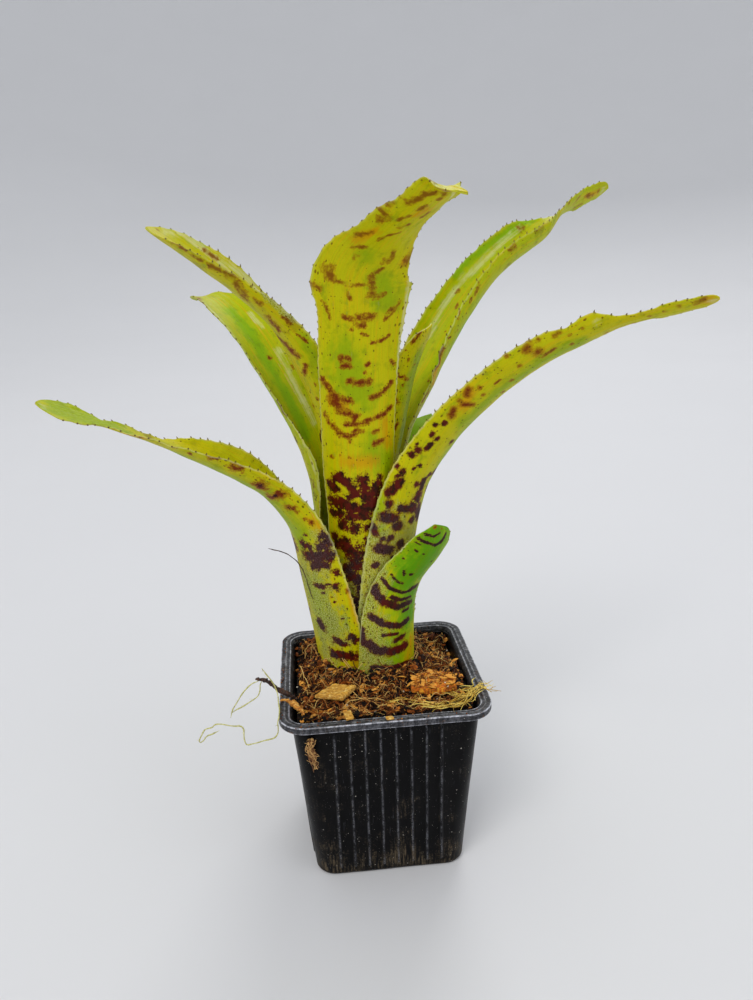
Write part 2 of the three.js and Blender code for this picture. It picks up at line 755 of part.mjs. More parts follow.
function soilBlock() {
  const bottom = FLOOR_THICKNESS + CLEARANCE;
  const shoulder = SOIL_EDGE_HEIGHT - 8;
  const ringAt = (height) => squareRing(
    innerHalfWidth(height) - POCKET_CLEARANCE,
    height,
    SOIL_POINTS_PER_CORNER,
  );
  const rings = [ringAt(bottom), ringAt(shoulder)];
  const edge = ringAt(shoulder + 1);
  for (let ring = 0; ring < SOIL_TOP_RINGS; ring += 1) {
    const share = 1 - (0.97 * ring) / (SOIL_TOP_RINGS - 1);
    rings.push(edge.map((point) => {
      const x = THREE.MathUtils.lerp(PLANT_X, point.x, share);
      const y = THREE.MathUtils.lerp(PLANT_Y, point.y, share);
      return new THREE.Vector3(x, y, soilHeight(x, y));
    }));
  }
  return loft(rings);
}

// The room that the leaves' bases take up in the mix.
function sheathSpace() {
  const low = LEAF_BASE_HEIGHT + 2;
  const levels = [
    [low, STEM_TOP - CLEARANCE, 0.03],
    [low, STEM_TOP - CLEARANCE, 1],
    [low, low, 1],
    [low + 5, low + 5, 1],
    [low + 10, low + 10, 1],
    [low + 10, low + 10, 0.03],
  ];
  return loft(levels.map(([reachHeight, height, share]) => (
    sheathRing(reachHeight, height, share, POCKET_CLEARANCE))));
}

function barkShape(piece, growth) {
  const shape = new THREE.Shape(piece.outline.map(([x, y]) => new THREE.Vector2(x, y)));
  const geometry = new THREE.ExtrudeGeometry(shape, {
    depth: piece.thickness - 2 * BARK_BEVEL,
    bevelSize: growth,
    bevelThickness: BARK_BEVEL + growth,
    bevelSegments: 1,
  });
  geometry.translate(0, 0, piece.underside + BARK_BEVEL);
  return geometry;
}

function strandPoints(strand) {
  return strand.points.map((point) => new THREE.Vector3(...point));
}

function buildBedding() {
  let mix = toSolid(soilBlock());
  mix = mix.subtract(toSolid(sheathSpace()));
  mix = mix.subtract(toSolid(stemShape(POCKET_CLEARANCE)));
  for (let i = 0; i < ROOT_COUNT; i += 1) {
    mix = mix.subtract(toSolid(rootWay(i)));
  }
  for (const piece of BARK_PIECES) {
    mix = mix.subtract(toSolid(barkShape(piece, 2 * POCKET_CLEARANCE)));
  }
  for (const strand of STRANDS) {
    const space = tube(strandPoints(strand), strand.radius + POCKET_CLEARANCE, 8, strand.steps);
    mix = mix.subtract(toSolid(space));
  }
  addMesh('potting_mix', toGeometry(mix), COLOUR.soil, 0.95);
}

// ---------------------------------------------------------------- the whole plant
buildPot();
buildBedding();
addMesh('stem', stemShape(0), COLOUR.stem, 0.8);
for (let i = 0; i < ROOT_COUNT; i += 1) {
  addMesh(`anchor_root_${i + 1}`, tube(rootPoints(i), ROOT_RADIUS, 8, 10), COLOUR.root, 0.9);
}
buildLeaves();
for (const piece of BARK_PIECES) {
  addMesh(piece.name, barkShape(piece, 0), piece.colour, 0.9);
}
for (const strand of STRANDS) {
  const shape = tube(strandPoints(strand), strand.radius, 6, strand.steps);
  addMesh(strand.name, shape, strand.colour, 0.8);
}

export default model;
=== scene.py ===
"""A neoregelia bromeliad in a small square nursery pot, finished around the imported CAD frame.

Lengths are in millimetres in the frame, unless a comment says otherwise, and angles in degrees.
"""

import math
import random

import bmesh
import bpy
import numpy as np
from mathutils import Euler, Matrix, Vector, noise


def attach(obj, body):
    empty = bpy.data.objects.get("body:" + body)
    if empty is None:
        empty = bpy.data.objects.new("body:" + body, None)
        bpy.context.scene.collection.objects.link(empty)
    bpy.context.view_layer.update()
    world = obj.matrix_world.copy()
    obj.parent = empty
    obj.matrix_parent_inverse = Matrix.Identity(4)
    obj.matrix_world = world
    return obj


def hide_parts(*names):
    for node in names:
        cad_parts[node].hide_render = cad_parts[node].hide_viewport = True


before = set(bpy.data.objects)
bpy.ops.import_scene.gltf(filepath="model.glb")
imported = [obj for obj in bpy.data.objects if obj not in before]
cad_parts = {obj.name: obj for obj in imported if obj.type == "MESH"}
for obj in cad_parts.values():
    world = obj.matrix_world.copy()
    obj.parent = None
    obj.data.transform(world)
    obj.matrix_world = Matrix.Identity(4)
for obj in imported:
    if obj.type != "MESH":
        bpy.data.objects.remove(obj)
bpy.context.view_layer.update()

MM = 0.001
SEED = 7
FULL_TURN = 2 * math.pi

noise.seed_set(SEED)              # noise_vector would shift its field at random without it


# ---------------------------------------------------------------- camera, light and floor
CAMERA_PLACE = (-19.7, -251.0, 203.0)
CAMERA_TURN = (73.42, 2.07, -5.49)            # about X, Y and Z
CAMERA_LENS = 28.08                           # for a long side of CAMERA_SENSOR
CAMERA_SENSOR = 36
CAMERA_NEAR = 0.01                            # metres

FLOOR_RADIUS = 1.6                            # metres, where the floor starts to rise
FLOOR_RISE = 3.4                              # metres
FLOOR_MIDDLE = 0.02                           # metres, the radius of the middle face
FLOOR_SIDES = 96
FLOOR_STEPS = 12
FLOOR_COLOUR = (0.72, 0.72, 0.73)
FLOOR_SHADE = 0.97                            # how dark the floor's mottling gets
WORLD_COLOUR = (0.92, 0.95, 1.0)
WORLD_STRENGTH = 0.7

# name: place in metres, size in metres, power in watts, colour
LIGHTS = {
    "key": ((-1.1, -1.7, 2.3), 1.3, 34.0, (1.0, 0.98, 0.95)),
    "fill": ((2.0, -1.5, 1.2), 1.6, 8.0, (0.95, 0.97, 1.0)),
    "back": ((0.7, 1.9, 1.9), 1.2, 16.0, (1.0, 1.0, 1.0)),
}
LIGHT_TARGET = Vector((0, 0, 0.12))           # metres


def make_camera():
    data = bpy.data.cameras.new("camera")
    data.lens = CAMERA_LENS
    data.sensor_width = CAMERA_SENSOR
    data.clip_start = CAMERA_NEAR
    camera = bpy.data.objects.new("camera", data)
    camera.location = Vector(CAMERA_PLACE) * MM
    camera.rotation_euler = Euler([math.radians(angle) for angle in CAMERA_TURN])
    bpy.context.scene.collection.objects.link(camera)
    bpy.context.scene.camera = camera


def make_lights():
    for name, (place, size, power, tint) in LIGHTS.items():
        data = bpy.data.lights.new(name, "AREA")
        data.size = size
        data.energy = power
        data.color = tint
        light = bpy.data.objects.new(name, data)
        light.location = place
        light.rotation_euler = (LIGHT_TARGET - light.location).to_track_quat("-Z", "Y").to_euler()
        bpy.context.scene.collection.objects.link(light)
    world = bpy.data.worlds.new("studio")
    world.use_nodes = True
    background = world.node_tree.nodes["Background"]
    background.inputs["Color"].default_value = (*WORLD_COLOUR, 1)
    background.inputs["Strength"].default_value = WORLD_STRENGTH
    bpy.context.scene.world = world
    bpy.context.scene.view_settings.view_transform = "Standard"


# ---------------------------------------------------------------- meshes
def add_object(name, points, faces, material, values=None, smooth=True):
    """A mesh object from points in millimetres. values holds a number or vector for each point."""
    mesh = bpy.data.meshes.new(name)
    mesh.from_pydata((np.asarray(points) * MM).tolist(), [], faces)
    mesh.polygons.foreach_set("use_smooth", [smooth] * len(mesh.polygons))
    for key, value in (values or {}).items():
        value = np.asarray(value, np.float32)
        kind, field = ("FLOAT_VECTOR", "vector") if value.ndim == 2 else ("FLOAT", "value")
        mesh.attributes.new(key, kind, "POINT").data.foreach_set(field, value.ravel())
    mesh.materials.append(material)
    mesh.update()
    item = bpy.data.objects.new(name, mesh)
    bpy.context.scene.collection.objects.link(item)
    return item


def place_piece(item, node=None):
    """Makes a piece ride on the body and in place of its CAD node."""
    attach(item, "root")
    if node:
        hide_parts(node)


def skin_faces(rings, count):
    """Faces of a closed skin over rings of equal counts, with one face closing each end."""
    faces = [(ring * count + i, ring * count + (i + 1) % count,
              (ring + 1) * count + (i + 1) % count, (ring + 1) * count + i)
             for ring in range(rings - 1) for i in range(count)]
    last = (rings - 1) * count
    return faces + [tuple(range(count - 1, -1, -1)), tuple(range(last, last + count))]


def closed_skin(rings):
    """Points and faces of a closed body through a list of rings."""
    return np.concatenate(rings), skin_faces(len(rings), len(rings[0]))


class Parts:
    """Collects many small closed bodies into one mesh, with a tone for each or for their points."""

    def __init__(self):
        self.points = []
        self.faces = []
        self.tones = []
        self.count = 0

    def add(self, points, faces, tone):
        self.points.append(np.asarray(points, float))
        self.faces.extend(tuple(i + self.count for i in face) for face in faces)
        self.tones.append(np.full(len(points), tone))
        self.count += len(points)

    def add_tube(self, path, radii, sides, tone, flat=1.0):
        self.add(*tube(path, radii, sides, flat), tone)

    def make(self, name, material, smooth=True, values=None):
        values = {**(values or {}), "tone": np.concatenate(self.tones)}
        return add_object(name, np.concatenate(self.points), self.faces, material, values, smooth)


def lengths_along(points):
    """How far along a line each of its points is."""
    steps = np.linalg.norm(np.diff(points, axis=0), axis=1)
    return np.concatenate([[0], np.cumsum(steps)])


def values_at(places, lengths, rows):
    """A line's rows of values at other places along it."""
    return np.stack([np.interp(places, lengths, column) for column in rows.T], axis=1)


def smooth_path(points, step):
    """Points at even steps along a smooth curve through the given points."""
    rows = np.asarray(points, float)
    ends = np.vstack([2 * rows[0] - rows[1], rows, 2 * rows[-1] - rows[-2]])
    fine = []
    for i in range(1, len(ends) - 2):
        before, start, end, after = ends[i - 1:i + 3]
        for t in np.linspace(0, 1, 24, endpoint=False):
            fine.append(0.5 * (2 * start + (end - before) * t
                               + (2 * before - 5 * start + 4 * end - after) * t ** 2
                               + (3 * start - before - 3 * end + after) * t ** 3))
    fine = np.array([*fine, rows[-1]])
    lengths = lengths_along(fine)
    count = max(int(lengths[-1] / step), 2)
    return values_at(np.linspace(0, lengths[-1], count + 1), lengths, fine)


def tube(path, radii, sides, flat=1.0):
    """Points and faces of a closed tube along a path. flat thins its section in one direction."""
    path = np.asarray(path, float)
    along = np.gradient(path, axis=0)
    along /= np.linalg.norm(along, axis=1)[:, None]
    side = np.cross(along[0], (0.31, 0.24, 0.92))
    rings = []
    turns = np.arange(sides) * 2 * math.pi / sides
    for centre, heading, radius in zip(path, along, np.broadcast_to(radii, len(path))):
        side = side - heading * side.dot(heading)
        side /= np.linalg.norm(side)
        other = np.cross(heading, side)
        rings.append(centre + radius * (np.cos(turns)[:, None] * side
                                        + flat * np.sin(turns)[:, None] * other))
    return closed_skin(rings)


def smoothstep(value, low, high):
    share = np.clip((value - low) / (high - low), 0, 1)
    return share * share * (3 - 2 * share)


def roughen(points, size, depth, seed):
    """Moves points along a noise field of that size by up to that depth."""
    shift = Vector((seed * 13.7, seed * 5.1, seed * 9.3))
    return np.array([np.array(p) + depth * np.array(noise.noise_vector(Vector(p) / size + shift))
                     for p in points])


def random_turn(draw):
    return draw.uniform(0, FULL_TURN)


# ---------------------------------------------------------------- shaders
class Field:
    """A value, colour or vector over a surface: a node's output, which can be reckoned with."""

    def __init__(self, shader, socket):
        self.shader = shader
        self.socket = socket

    def __add__(self, other):
        return self.shader.node("Math", (self, other), operation="ADD")

    def __sub__(self, other):
        return self.shader.node("Math", (self, other), operation="SUBTRACT")

    def __mul__(self, other):
        return self.shader.node("Math", (self, other), operation="MULTIPLY")

    def step(self, low, high, out_low=0.0, out_high=1.0):
        """A smooth step from out_low at low to out_high at high."""
        return self.shader.node("MapRange", (self, low, high, out_low, out_high),
                                interpolation_type="SMOOTHSTEP")


class Shader:
    """A material's nodes. Its base colour starts as one colour, and coats are laid over it."""

    def __init__(self, name, base, roughness=0.5, **settings):
        self.material = bpy.data.materials.new(name)
        self.material.use_nodes = True
        self.nodes = self.material.node_tree.nodes
        self.surface = self.nodes["Principled BSDF"]
        self.base = base
        for key, value in {"Roughness": roughness, **settings}.items():
            self.surface.inputs[key.replace("_", " ")].default_value = value

    def wire(self, value, socket):
        if isinstance(value, Field):
            self.material.node_tree.links.new(value.socket, socket)
        elif isinstance(value, tuple) and socket.type == "RGBA":
            socket.default_value = (*value, 1)
        else:
            socket.default_value = value

    def node(self, kind, inputs=(), output=0, **settings):
        """A new node's output. Its inputs are listed in order, or by name or number in a dict."""
        node = self.nodes.new("ShaderNode" + kind)
        for key, value in settings.items():
            setattr(node, key, value)
        named = inputs if isinstance(inputs, dict) else dict(enumerate(inputs))
        for key, value in named.items():
            self.wire(value, node.inputs[key])
        return Field(self, node.outputs[output])

    def mix(self, share, first, second):
        return self.node("Mix", {0: share, 6: first, 7: second}, 2, data_type="RGBA")

    def coat(self, share, colour):
        """Lays a colour over the surface as it is so far."""
        self.base = self.mix(share, self.base, colour)

    def value(self, name, output="Fac"):
        """What the mesh's points hold under that name."""
        return self.node("Attribute", (), output, attribute_name=name)

    def place(self):
        """The surface's own place, in millimetres."""
        return self.scaled(self.node("TexCoord", (), "Object"), (1 / MM, 1 / MM, 1 / MM))

    def part(self, vector, axis):
        return self.node("SeparateXYZ", (vector,), axis)

    def scaled(self, vector, scale):
        return self.node("VectorMath", (vector, scale), operation="MULTIPLY")

    def pattern(self, vector, scale):
        """A texture's first inputs. Its scale is one number, or one for each axis."""
        if isinstance(scale, tuple):
            vector, scale = self.scaled(vector, scale), 1.0
        return {"Vector": vector, "Scale": scale}

    def noise(self, vector, scale, detail=3.0, roughness=0.55):
        cloudy = {"Detail": detail, "Roughness": roughness}
        return self.node("TexNoise", {**self.pattern(vector, scale), **cloudy}, "Fac")

    def cells(self, vector, scale):
        """Distance to the nearest scattered point, and two random numbers for that point."""
        distance = self.node("TexVoronoi", self.pattern(vector, scale), "Distance")
        split = self.nodes.new("ShaderNodeSeparateColor")
        self.wire(Field(self, distance.socket.node.outputs["Color"]), split.inputs[0])
        return distance, Field(self, split.outputs[0]), Field(self, split.outputs[1])

    def bump(self, height, strength, distance, below=None):
        """A normal for that relief. below is the normal of another relief under it."""
        inputs = {"Strength": strength, "Distance": distance * MM, "Height": height}
        if below:
            inputs["Normal"] = below
        return self.node("Bump", inputs)

    def finish(self, roughness=None, normal=None):
        for name, value in (("Base Color", self.base), ("Roughness", roughness),
                            ("Normal", normal)):
            if value is not None:
                self.wire(value, self.surface.inputs[name])
        return self.material


def colour(red, green, blue):
    """A screen colour, 0 to 255, as the linear one that shaders use."""
    return tuple((c / 255 / 12.92) if c < 11 else ((c / 255 + 0.055) / 1.055) ** 2.4
                 for c in (red, green, blue))


GOLD = colour(214, 178, 0)
AMBER = colour(208, 138, 0)
OLIVE = colour(132, 132, 0)
DEEP_GREEN = colour(92, 156, 0)
PALE_GREEN = colour(214, 216, 150)
SCURF_GREEN = colour(140, 142, 54)
SCURF_PALE = colour(194, 196, 126)
SCURF_DARK = colour(60, 66, 20)
RUST_EDGE = colour(160, 100, 0)
RUST = colour(112, 34, 0)
UMBER = colour(128, 76, 0)
DOT = colour(100, 56, 0)
MAROON = colour(84, 0, 12)
MAROON_DEEP = colour(34, 0, 6)
DARK_PURPLE = colour(38, 18, 24)
PURPLE_GREY = colour(92, 66, 72)
SPINE_GREEN = colour(150, 140, 40)
SPINE_BROWN = colour(74, 36, 16)
PLASTIC_BLACK = colour(1, 1, 2)
PLASTIC_GREY = colour(6, 6, 8)
SCRATCH_GREY = colour(90, 92, 98)
HIGHLIGHT_AND_WORN_GREY = colour(206, 208, 218)
RUBBED_GREY = colour(176, 176, 184)
SOIL_STAIN = colour(118, 80, 48)
SOIL_FILM = colour(132, 116, 92)
DUST = colour(205, 200, 190)
WHITE_BIT = colour(226, 216, 192)
STRAND_FLECK = colour(90, 66, 34)
STEM_PALE = colour(150, 152, 96)
STEM_SCAR = colour(112, 84, 52)

UPPER_LEAF = (116, 158)           # places along a leaf between which its marks turn brown and faint
FINE_DOTS = ((0.4, 0.66, 1), 0.22)              # the dots' density on each axis and greatest radius
DENSE_DOTS = ((0.85, 1.05, 1), 0.28)
RIM_UNDERSIDE = (62.2, 62.7)      # heights between which the pot's rim begins
SOILED_FOOT = (22, 3)             # heights between which splashed soil grows towards the foot
DUST_SPECKS = ((0.7, 0.84, 0.8), (1.1, 0.74, 0.7), (1.9, 0.76, 0.6))  # density, threshold, strength
MIX_ROUGHNESS = 0.8


def leaf_material(name, ground, green):
    """Waxy leaf tissue. The ground colour shows where no mark is painted over it."""
    s = Shader(name, ground, Subsurface_Weight=0.08, Subsurface_Radius=(0.0014, 0.0016, 0.0003),
               Subsurface_Scale=1.0, Specular_IOR_Level=0.1)
    place = s.value("leaf_place", "Vector")
    upper = s.part(place, "X").step(*UPPER_LEAF)
    broad = s.noise(place, (0.05, 0.17, 1))
    cloud = s.noise(place, (0.26, 0.34, 1), 4, 0.65)
    streak = s.noise(place, (0.04, 1.1, 1))
    vein = s.noise(place, (0.05, 3.0, 1), 2)
    lobes = s.noise(place, (0.55, 0.5, 1), 2, 0.6)
    ragged = s.noise(place, (1.5, 1.7, 1), 3, 0.7)
    grain = s.noise(place, 1.7, 4, 0.85)
    scales = s.noise(place, 2.9, 2, 0.6)

    # the ground: yellow and green clouds, long streaks and veins
    s.coat(streak.step(0.42, 0.72, 0, 0.6), GOLD)
    s.coat((s.value("green") + (broad + cloud - 1) * 1.5).step(0.0, 0.9), green)
    s.coat((s.value("deep") + (broad + cloud - 1) * 1.2).step(0.1, 0.9), DEEP_GREEN)
    s.coat(cloud.step(0.5, 0.75, 0, 0.45), OLIVE)
    s.coat(vein.step(0.5, 0.8, 0, 0.3), OLIVE)
    s.coat(grain.step(0.5, 0.72, 0, 0.35), OLIVE)
    s.coat((s.value("amber") + (streak - 0.5) * 1.5).step(0.1, 1.0, 0, 0.6), AMBER)
    # pale: the leaf's own pale margins and patches; on the inner faces of leaf_mid_left and
    # leaf_upper_right the long pale strokes are a whitish sheen streak along the channel, partly
    # bloom and partly painted highlight
    pale_and_sheen = s.value("pale") - 0.22 + (streak + cloud - 1) * 1.6 + (grain + vein - 1) * 0.6
    s.coat(pale_and_sheen.step(0.1, 1.1, 0, 0.85), PALE_GREEN)

    # the grey scales of its lower part
    scaly = s.value("scurf")
    scurf = (scaly + (cloud - 0.5) * 2.2).step(0.0, 0.7) * scaly.step(0.0, 0.15)
    s.coat(scurf * broad.step(0.3, 0.7, 0.2, 0.7), SCURF_GREEN)
    s.coat(scurf * scales.step(0.5, 0.6, 0, 0.8), SCURF_PALE)
    s.coat(scurf * scales.step(0.46, 0.36, 0, 0.75), SCURF_DARK)

    # painted marks with ragged edges, patchy inside, browner and fainter towards the tip
    patchy = ((lobes - 0.5) * 2.6 + (ragged - 0.5) * 2.2) * s.value("ragged")
    fade = upper * lobes.step(0.36, 0.62, -0.55, -0.12) + 1
    mark = s.mix(upper, RUST, UMBER)
    rust = s.value("rust") + patchy
    s.coat(rust.step(-0.45, 0.2, 0, 0.7) * fade, RUST_EDGE)
    s.coat(rust.step(0.0, 0.9, 0, 0.95) * fade, mark)
    gaps = (s.value("clear") + patchy).step(0.0, 0.4, 1, 0.1)
    maroon = s.value("maroon") + patchy
    s.coat(maroon.step(-0.45, 0.05, 0, 0.65) * gaps, RUST)
    inside = s.mix(cloud.step(0.44, 0.58), MAROON, MAROON_DEEP)
    inside = s.mix(ragged.step(0.56, 0.72, 0, 0.6), inside, RUST)
    inside = s.mix(scurf * 0.8, inside, DARK_PURPLE)
    inside = s.mix(s.value("deep").step(0.0, 0.6, 0, 0.75), inside, DARK_PURPLE)
    inside = s.mix(scurf * scales.step(0.47, 0.6, 0, 0.85), inside, PURPLE_GREY)
    s.coat(maroon.step(-0.1, 0.25) * gaps * 0.96, inside)

    # unpainted faces have blotches of their own
    wild = s.value("wild")
    away, chosen, depth = s.cells(place, (0.13, 0.2, 1))
    radius = (chosen + wild * 0.5).step(0.75, 1.2, -0.1, 0.42)
    blotch = (radius - away + patchy * 0.3).step(-0.08, 0.14)
    s.coat(blotch * wild * 0.85, s.mix(depth, mark, MAROON_DEEP))

    # small dots everywhere, more of them near the margins and on the scales
    many = s.value("dots") + (scurf * 0.45 + upper * -0.25)
    for density, largest in (FINE_DOTS, DENSE_DOTS):
        away, chosen, shade = s.cells(place, density)
        radius = (chosen + many * 0.5).step(0.62, 1.4, -0.02, largest)
        tint = s.mix(shade, DOT, s.mix(upper, MAROON_DEEP, DOT))
        s.coat((radius - away).step(-0.06, 0.07) * 0.75, tint)
    s.coat(s.value("edge") * upper.step(0, 1, 0.4, 0.15), PALE_GREEN)

    rough = grain.step(0.35, 0.65, 0.36, 0.52) + scurf * 0.2
    relief = vein * 0.8 + scales * (scurf * 0.8 + 0.25)
    return s.finish(rough, s.bump(relief, 0.5, 0.25))


def spine_material():
    s = Shader("leaf_spine", SPINE_GREEN, 0.45, Specular_IOR_Level=0.3)
    s.coat(s.value("tone").step(0.1, 0.7), SPINE_BROWN)
    return s.finish()


def pot_material():
    """Black plastic: painted highlight lines on the ribs' crests and the rim's edges, with some
    real rubbing, a painted sheen over the rim, soiled on the rim and the foot, and dusty.
    """
    s = Shader("black_plastic", PLASTIC_BLACK, 0.36, Specular_IOR_Level=0.1)
    place = s.place()
    height = s.part(place, "Z")
    cloud = s.noise(place, 0.11, 4)
    grain = s.noise(place, 1.7)
    drawn = s.noise(place, (1.6, 1.6, 0.05), 3, 0.7)
    s.coat(cloud.step(0.35, 0.75), PLASTIC_GREY)
    s.coat(drawn.step(0.62, 0.7) * s.noise(place, 0.25, 2).step(0.45, 0.65) * 0.4, SCRATCH_GREY)

    rim = height.step(*RIM_UNDERSIDE)
    # painted highlight lines on the rim's edges and the ribs' crests, with some real rubbing,
    # broken up by noise; rim * 0.3 adds a faint painted sheen over all the rim
    highlight_and_wear = s.noise(place, (0.7, 0.7, 0.35), 4, 0.7).step(0.4, 0.6, 0.06, 1.0)
    highlight_and_wear = highlight_and_wear * grain.step(0.36, 0.56, 0.3, 1.0) + rim * 0.3
    s.coat(s.value("wear_and_highlight") * highlight_and_wear, HIGHLIGHT_AND_WORN_GREY)
    s.coat(rim * s.noise(place, (0.2, 0.2, 4.5), 3, 0.7).step(0.56, 0.7) * 0.34, RUBBED_GREY)
    s.coat(rim * s.noise(place, 0.5, 5, 0.75).step(0.6, 0.66) * 0.6, SOIL_STAIN)

    for density, threshold, strength in DUST_SPECKS:
        away, chosen, radius = s.cells(place, density)
        speck = (away - radius * 0.12).step(0.05, 0.0) * chosen.step(threshold, threshold + 0.05)
        s.coat(speck * strength, DUST)
    low = height.step(*SOILED_FOOT, 0, 0.3)
    film = (cloud + grain * 0.6 + low * 0.7).step(0.86, 1.2) * drawn.step(0.42, 0.6)
    s.coat(film * 0.4, SOIL_FILM)
    rough = cloud.step(0.3, 0.7, 0.28, 0.42) + film * 0.3
    return s.finish(rough, s.bump(drawn, 0.18, 0.12, s.bump(grain, 0.12, 0.1)))


def mix_material(name, dark, middle, light):
    """Peat and bark bits: each takes its own tone between three colours, and a few are white."""
    s = Shader(name, dark, MIX_ROUGHNESS, Specular_IOR_Level=0.25)
    place = s.place()
    tone = s.value("tone")
    grain = s.noise(place, 1.4, 4, 0.65)
    fibre = s.noise(place, (1.44, 1.44, 4.8), 3, 0.6)
    shade = tone + (grain - 0.5) * 0.5
    s.coat(shade.step(0.1, 0.55), middle)
    s.coat(shade.step(0.5, 0.95), light)
    s.coat(fibre.step(0.52, 0.8, 0, 0.5), dark)
    s.coat(tone.step(1.2, 1.4), WHITE_BIT)
    rough = grain.step(0.3, 0.7, MIX_ROUGHNESS - 0.12, MIX_ROUGHNESS + 0.12)
    return s.finish(rough, s.bump(grain + fibre, 0.6, 0.35))


def bark_material(name, dark, middle, light):
    """Layered bark with fibres along its length."""
    s = Shader(name, dark, 0.82)
    place = s.place()
    fibre = s.noise(place, (0.35, 1.6, 2.4), 4, 0.6)
    flake = s.noise(place, 0.9, 4, 0.6)
    s.coat(fibre.step(0.3, 0.68), middle)
    s.coat(flake.step(0.48, 0.72), light)
    s.coat(s.noise(place, (0.64, 2.88, 3.2)).step(0.62, 0.7) * 0.7, dark)
    return s.finish(flake.step(0.3, 0.7, 0.7, 0.92), s.bump(fibre + flake, 0.7, 0.5))


def strand_material(name, root, tip):
    """A dry strand whose tone wanders between two colours, with dark flecks."""
    s = Shader(name, root, 0.7)
    place = s.place()
    tone = s.noise(place, 1.5) + (s.value("tone") - 0.5) * 0.5
    s.coat(tone.step(0.3, 0.7), tip)
    s.coat(s.noise(place, 4.65, 2).step(0.6, 0.72) * 0.35, STRAND_FLECK)
    return s.finish(None, s.bump(s.noise(place, 4.0, 2), 0.5, 0.12))


def tissue_material():
    """The stem's surface, with scars across it."""
    s = Shader("stem_tissue", STEM_PALE, 0.7)
    scar = s.noise(s.place(), (0.2, 0.2, 1.3))
    s.coat(scar.step(0.35, 0.65), STEM_SCAR)
    return s.finish(None, s.bump(scar, 0.5, 0.6))


def floor_material():
    s = Shader("floor", tuple(FLOOR_SHADE * c for c in FLOOR_COLOUR), 0.6)
    s.coat(s.noise(s.place(), 0.004, 2), FLOOR_COLOUR)
    return s.finish()


def make_floor():
    """A pale floor that rises into a wall all round, far from the plant."""
    rings = [[FLOOR_MIDDLE, 0], [FLOOR_RADIUS, 0]]
    for i in range(1, FLOOR_STEPS + 1):
        angle = math.radians(90 * i / FLOOR_STEPS)
        rings.append([FLOOR_RADIUS + FLOOR_RISE * math.sin(angle),
                      FLOOR_RISE * (1 - math.cos(angle))])
    points = [(r * math.cos(a), r * math.sin(a), z) for r, z in rings
              for a in np.arange(FLOOR_SIDES) * 2 * math.pi / FLOOR_SIDES]
    faces = skin_faces(len(rings), FLOOR_SIDES)[:-1]
    add_object("studio_floor", np.array(points) / MM, faces, floor_material())


# ---------------------------------------------------------------- leaves
PLANT_X = -4.5
PLANT_Y = 12
LEAF_THICKNESS_BASE = 1.1
LEAF_THICKNESS_BLADE = 0.75
LEAF_THINNING_LENGTH = 0.35
LEAF_STEP = 0.75                  # between rows of points, along the leaf
LEAF_COLUMNS = 36
SPINE_PITCH = 3.2
SPINE_LENGTH = 0.62
SPINE_START = 26                  # the lowest spine, above the leaf's foot
SPINE_END = 4                     # how far the last spine is from the leaf's end
SPINE_RADIUS = 0.3
SPINE_POINT = 0.02
SPINE_LEAN = 0.75
SPINE_SIDES = 5
SCALLOP = 0.3                     # how far the margin rises to each spine
SCALLOP_WIDTH = 0.8
TIP_LENGTH = 3.6                  # over which a leaf's end is rounded
TIP_ROUNDING = 0.97
COURSE_SAMPLES = 401
LEAF_RIDGES = ((0.05, 0, 2.3), (0.025, 9, 0.9))       # height, seed and wave length
LEAF_SWAY = 0.16
LEAF_WANDER = 0.1                 # how far a margin flutters, unless its leaf says otherwise
CALM_FOOT = (30, 60)              # a leaf starts to sway and flutter between these places
CALM_TIP = 12
WAVE_PHASES = 6.3
FAR_FROM_STROKES = -2.0
RAGGED_MARKS = ("rust", "maroon", "clear")
SOFT_MARKS = ("green", "deep", "pale", "amber")
FACE_APART = 100                  # the noise's third coordinate sets the leaves apart

# A course's stations are [reach, side, height, half width, fold, roll], as in the CAD model.
# Painted marks are strokes on the outer face, or on the inner one where they are listed so:
# a radius and then places [along, across] in millimetres from the leaf's foot and its keel.
# Across is positive anticlockwise round the rosette. A bulge of a margin is its side, its
# place along the leaf, how far it stands out and its half length. "wild" is how many blotches of
# their own the outer and the inner face have.
LEAVES = {}

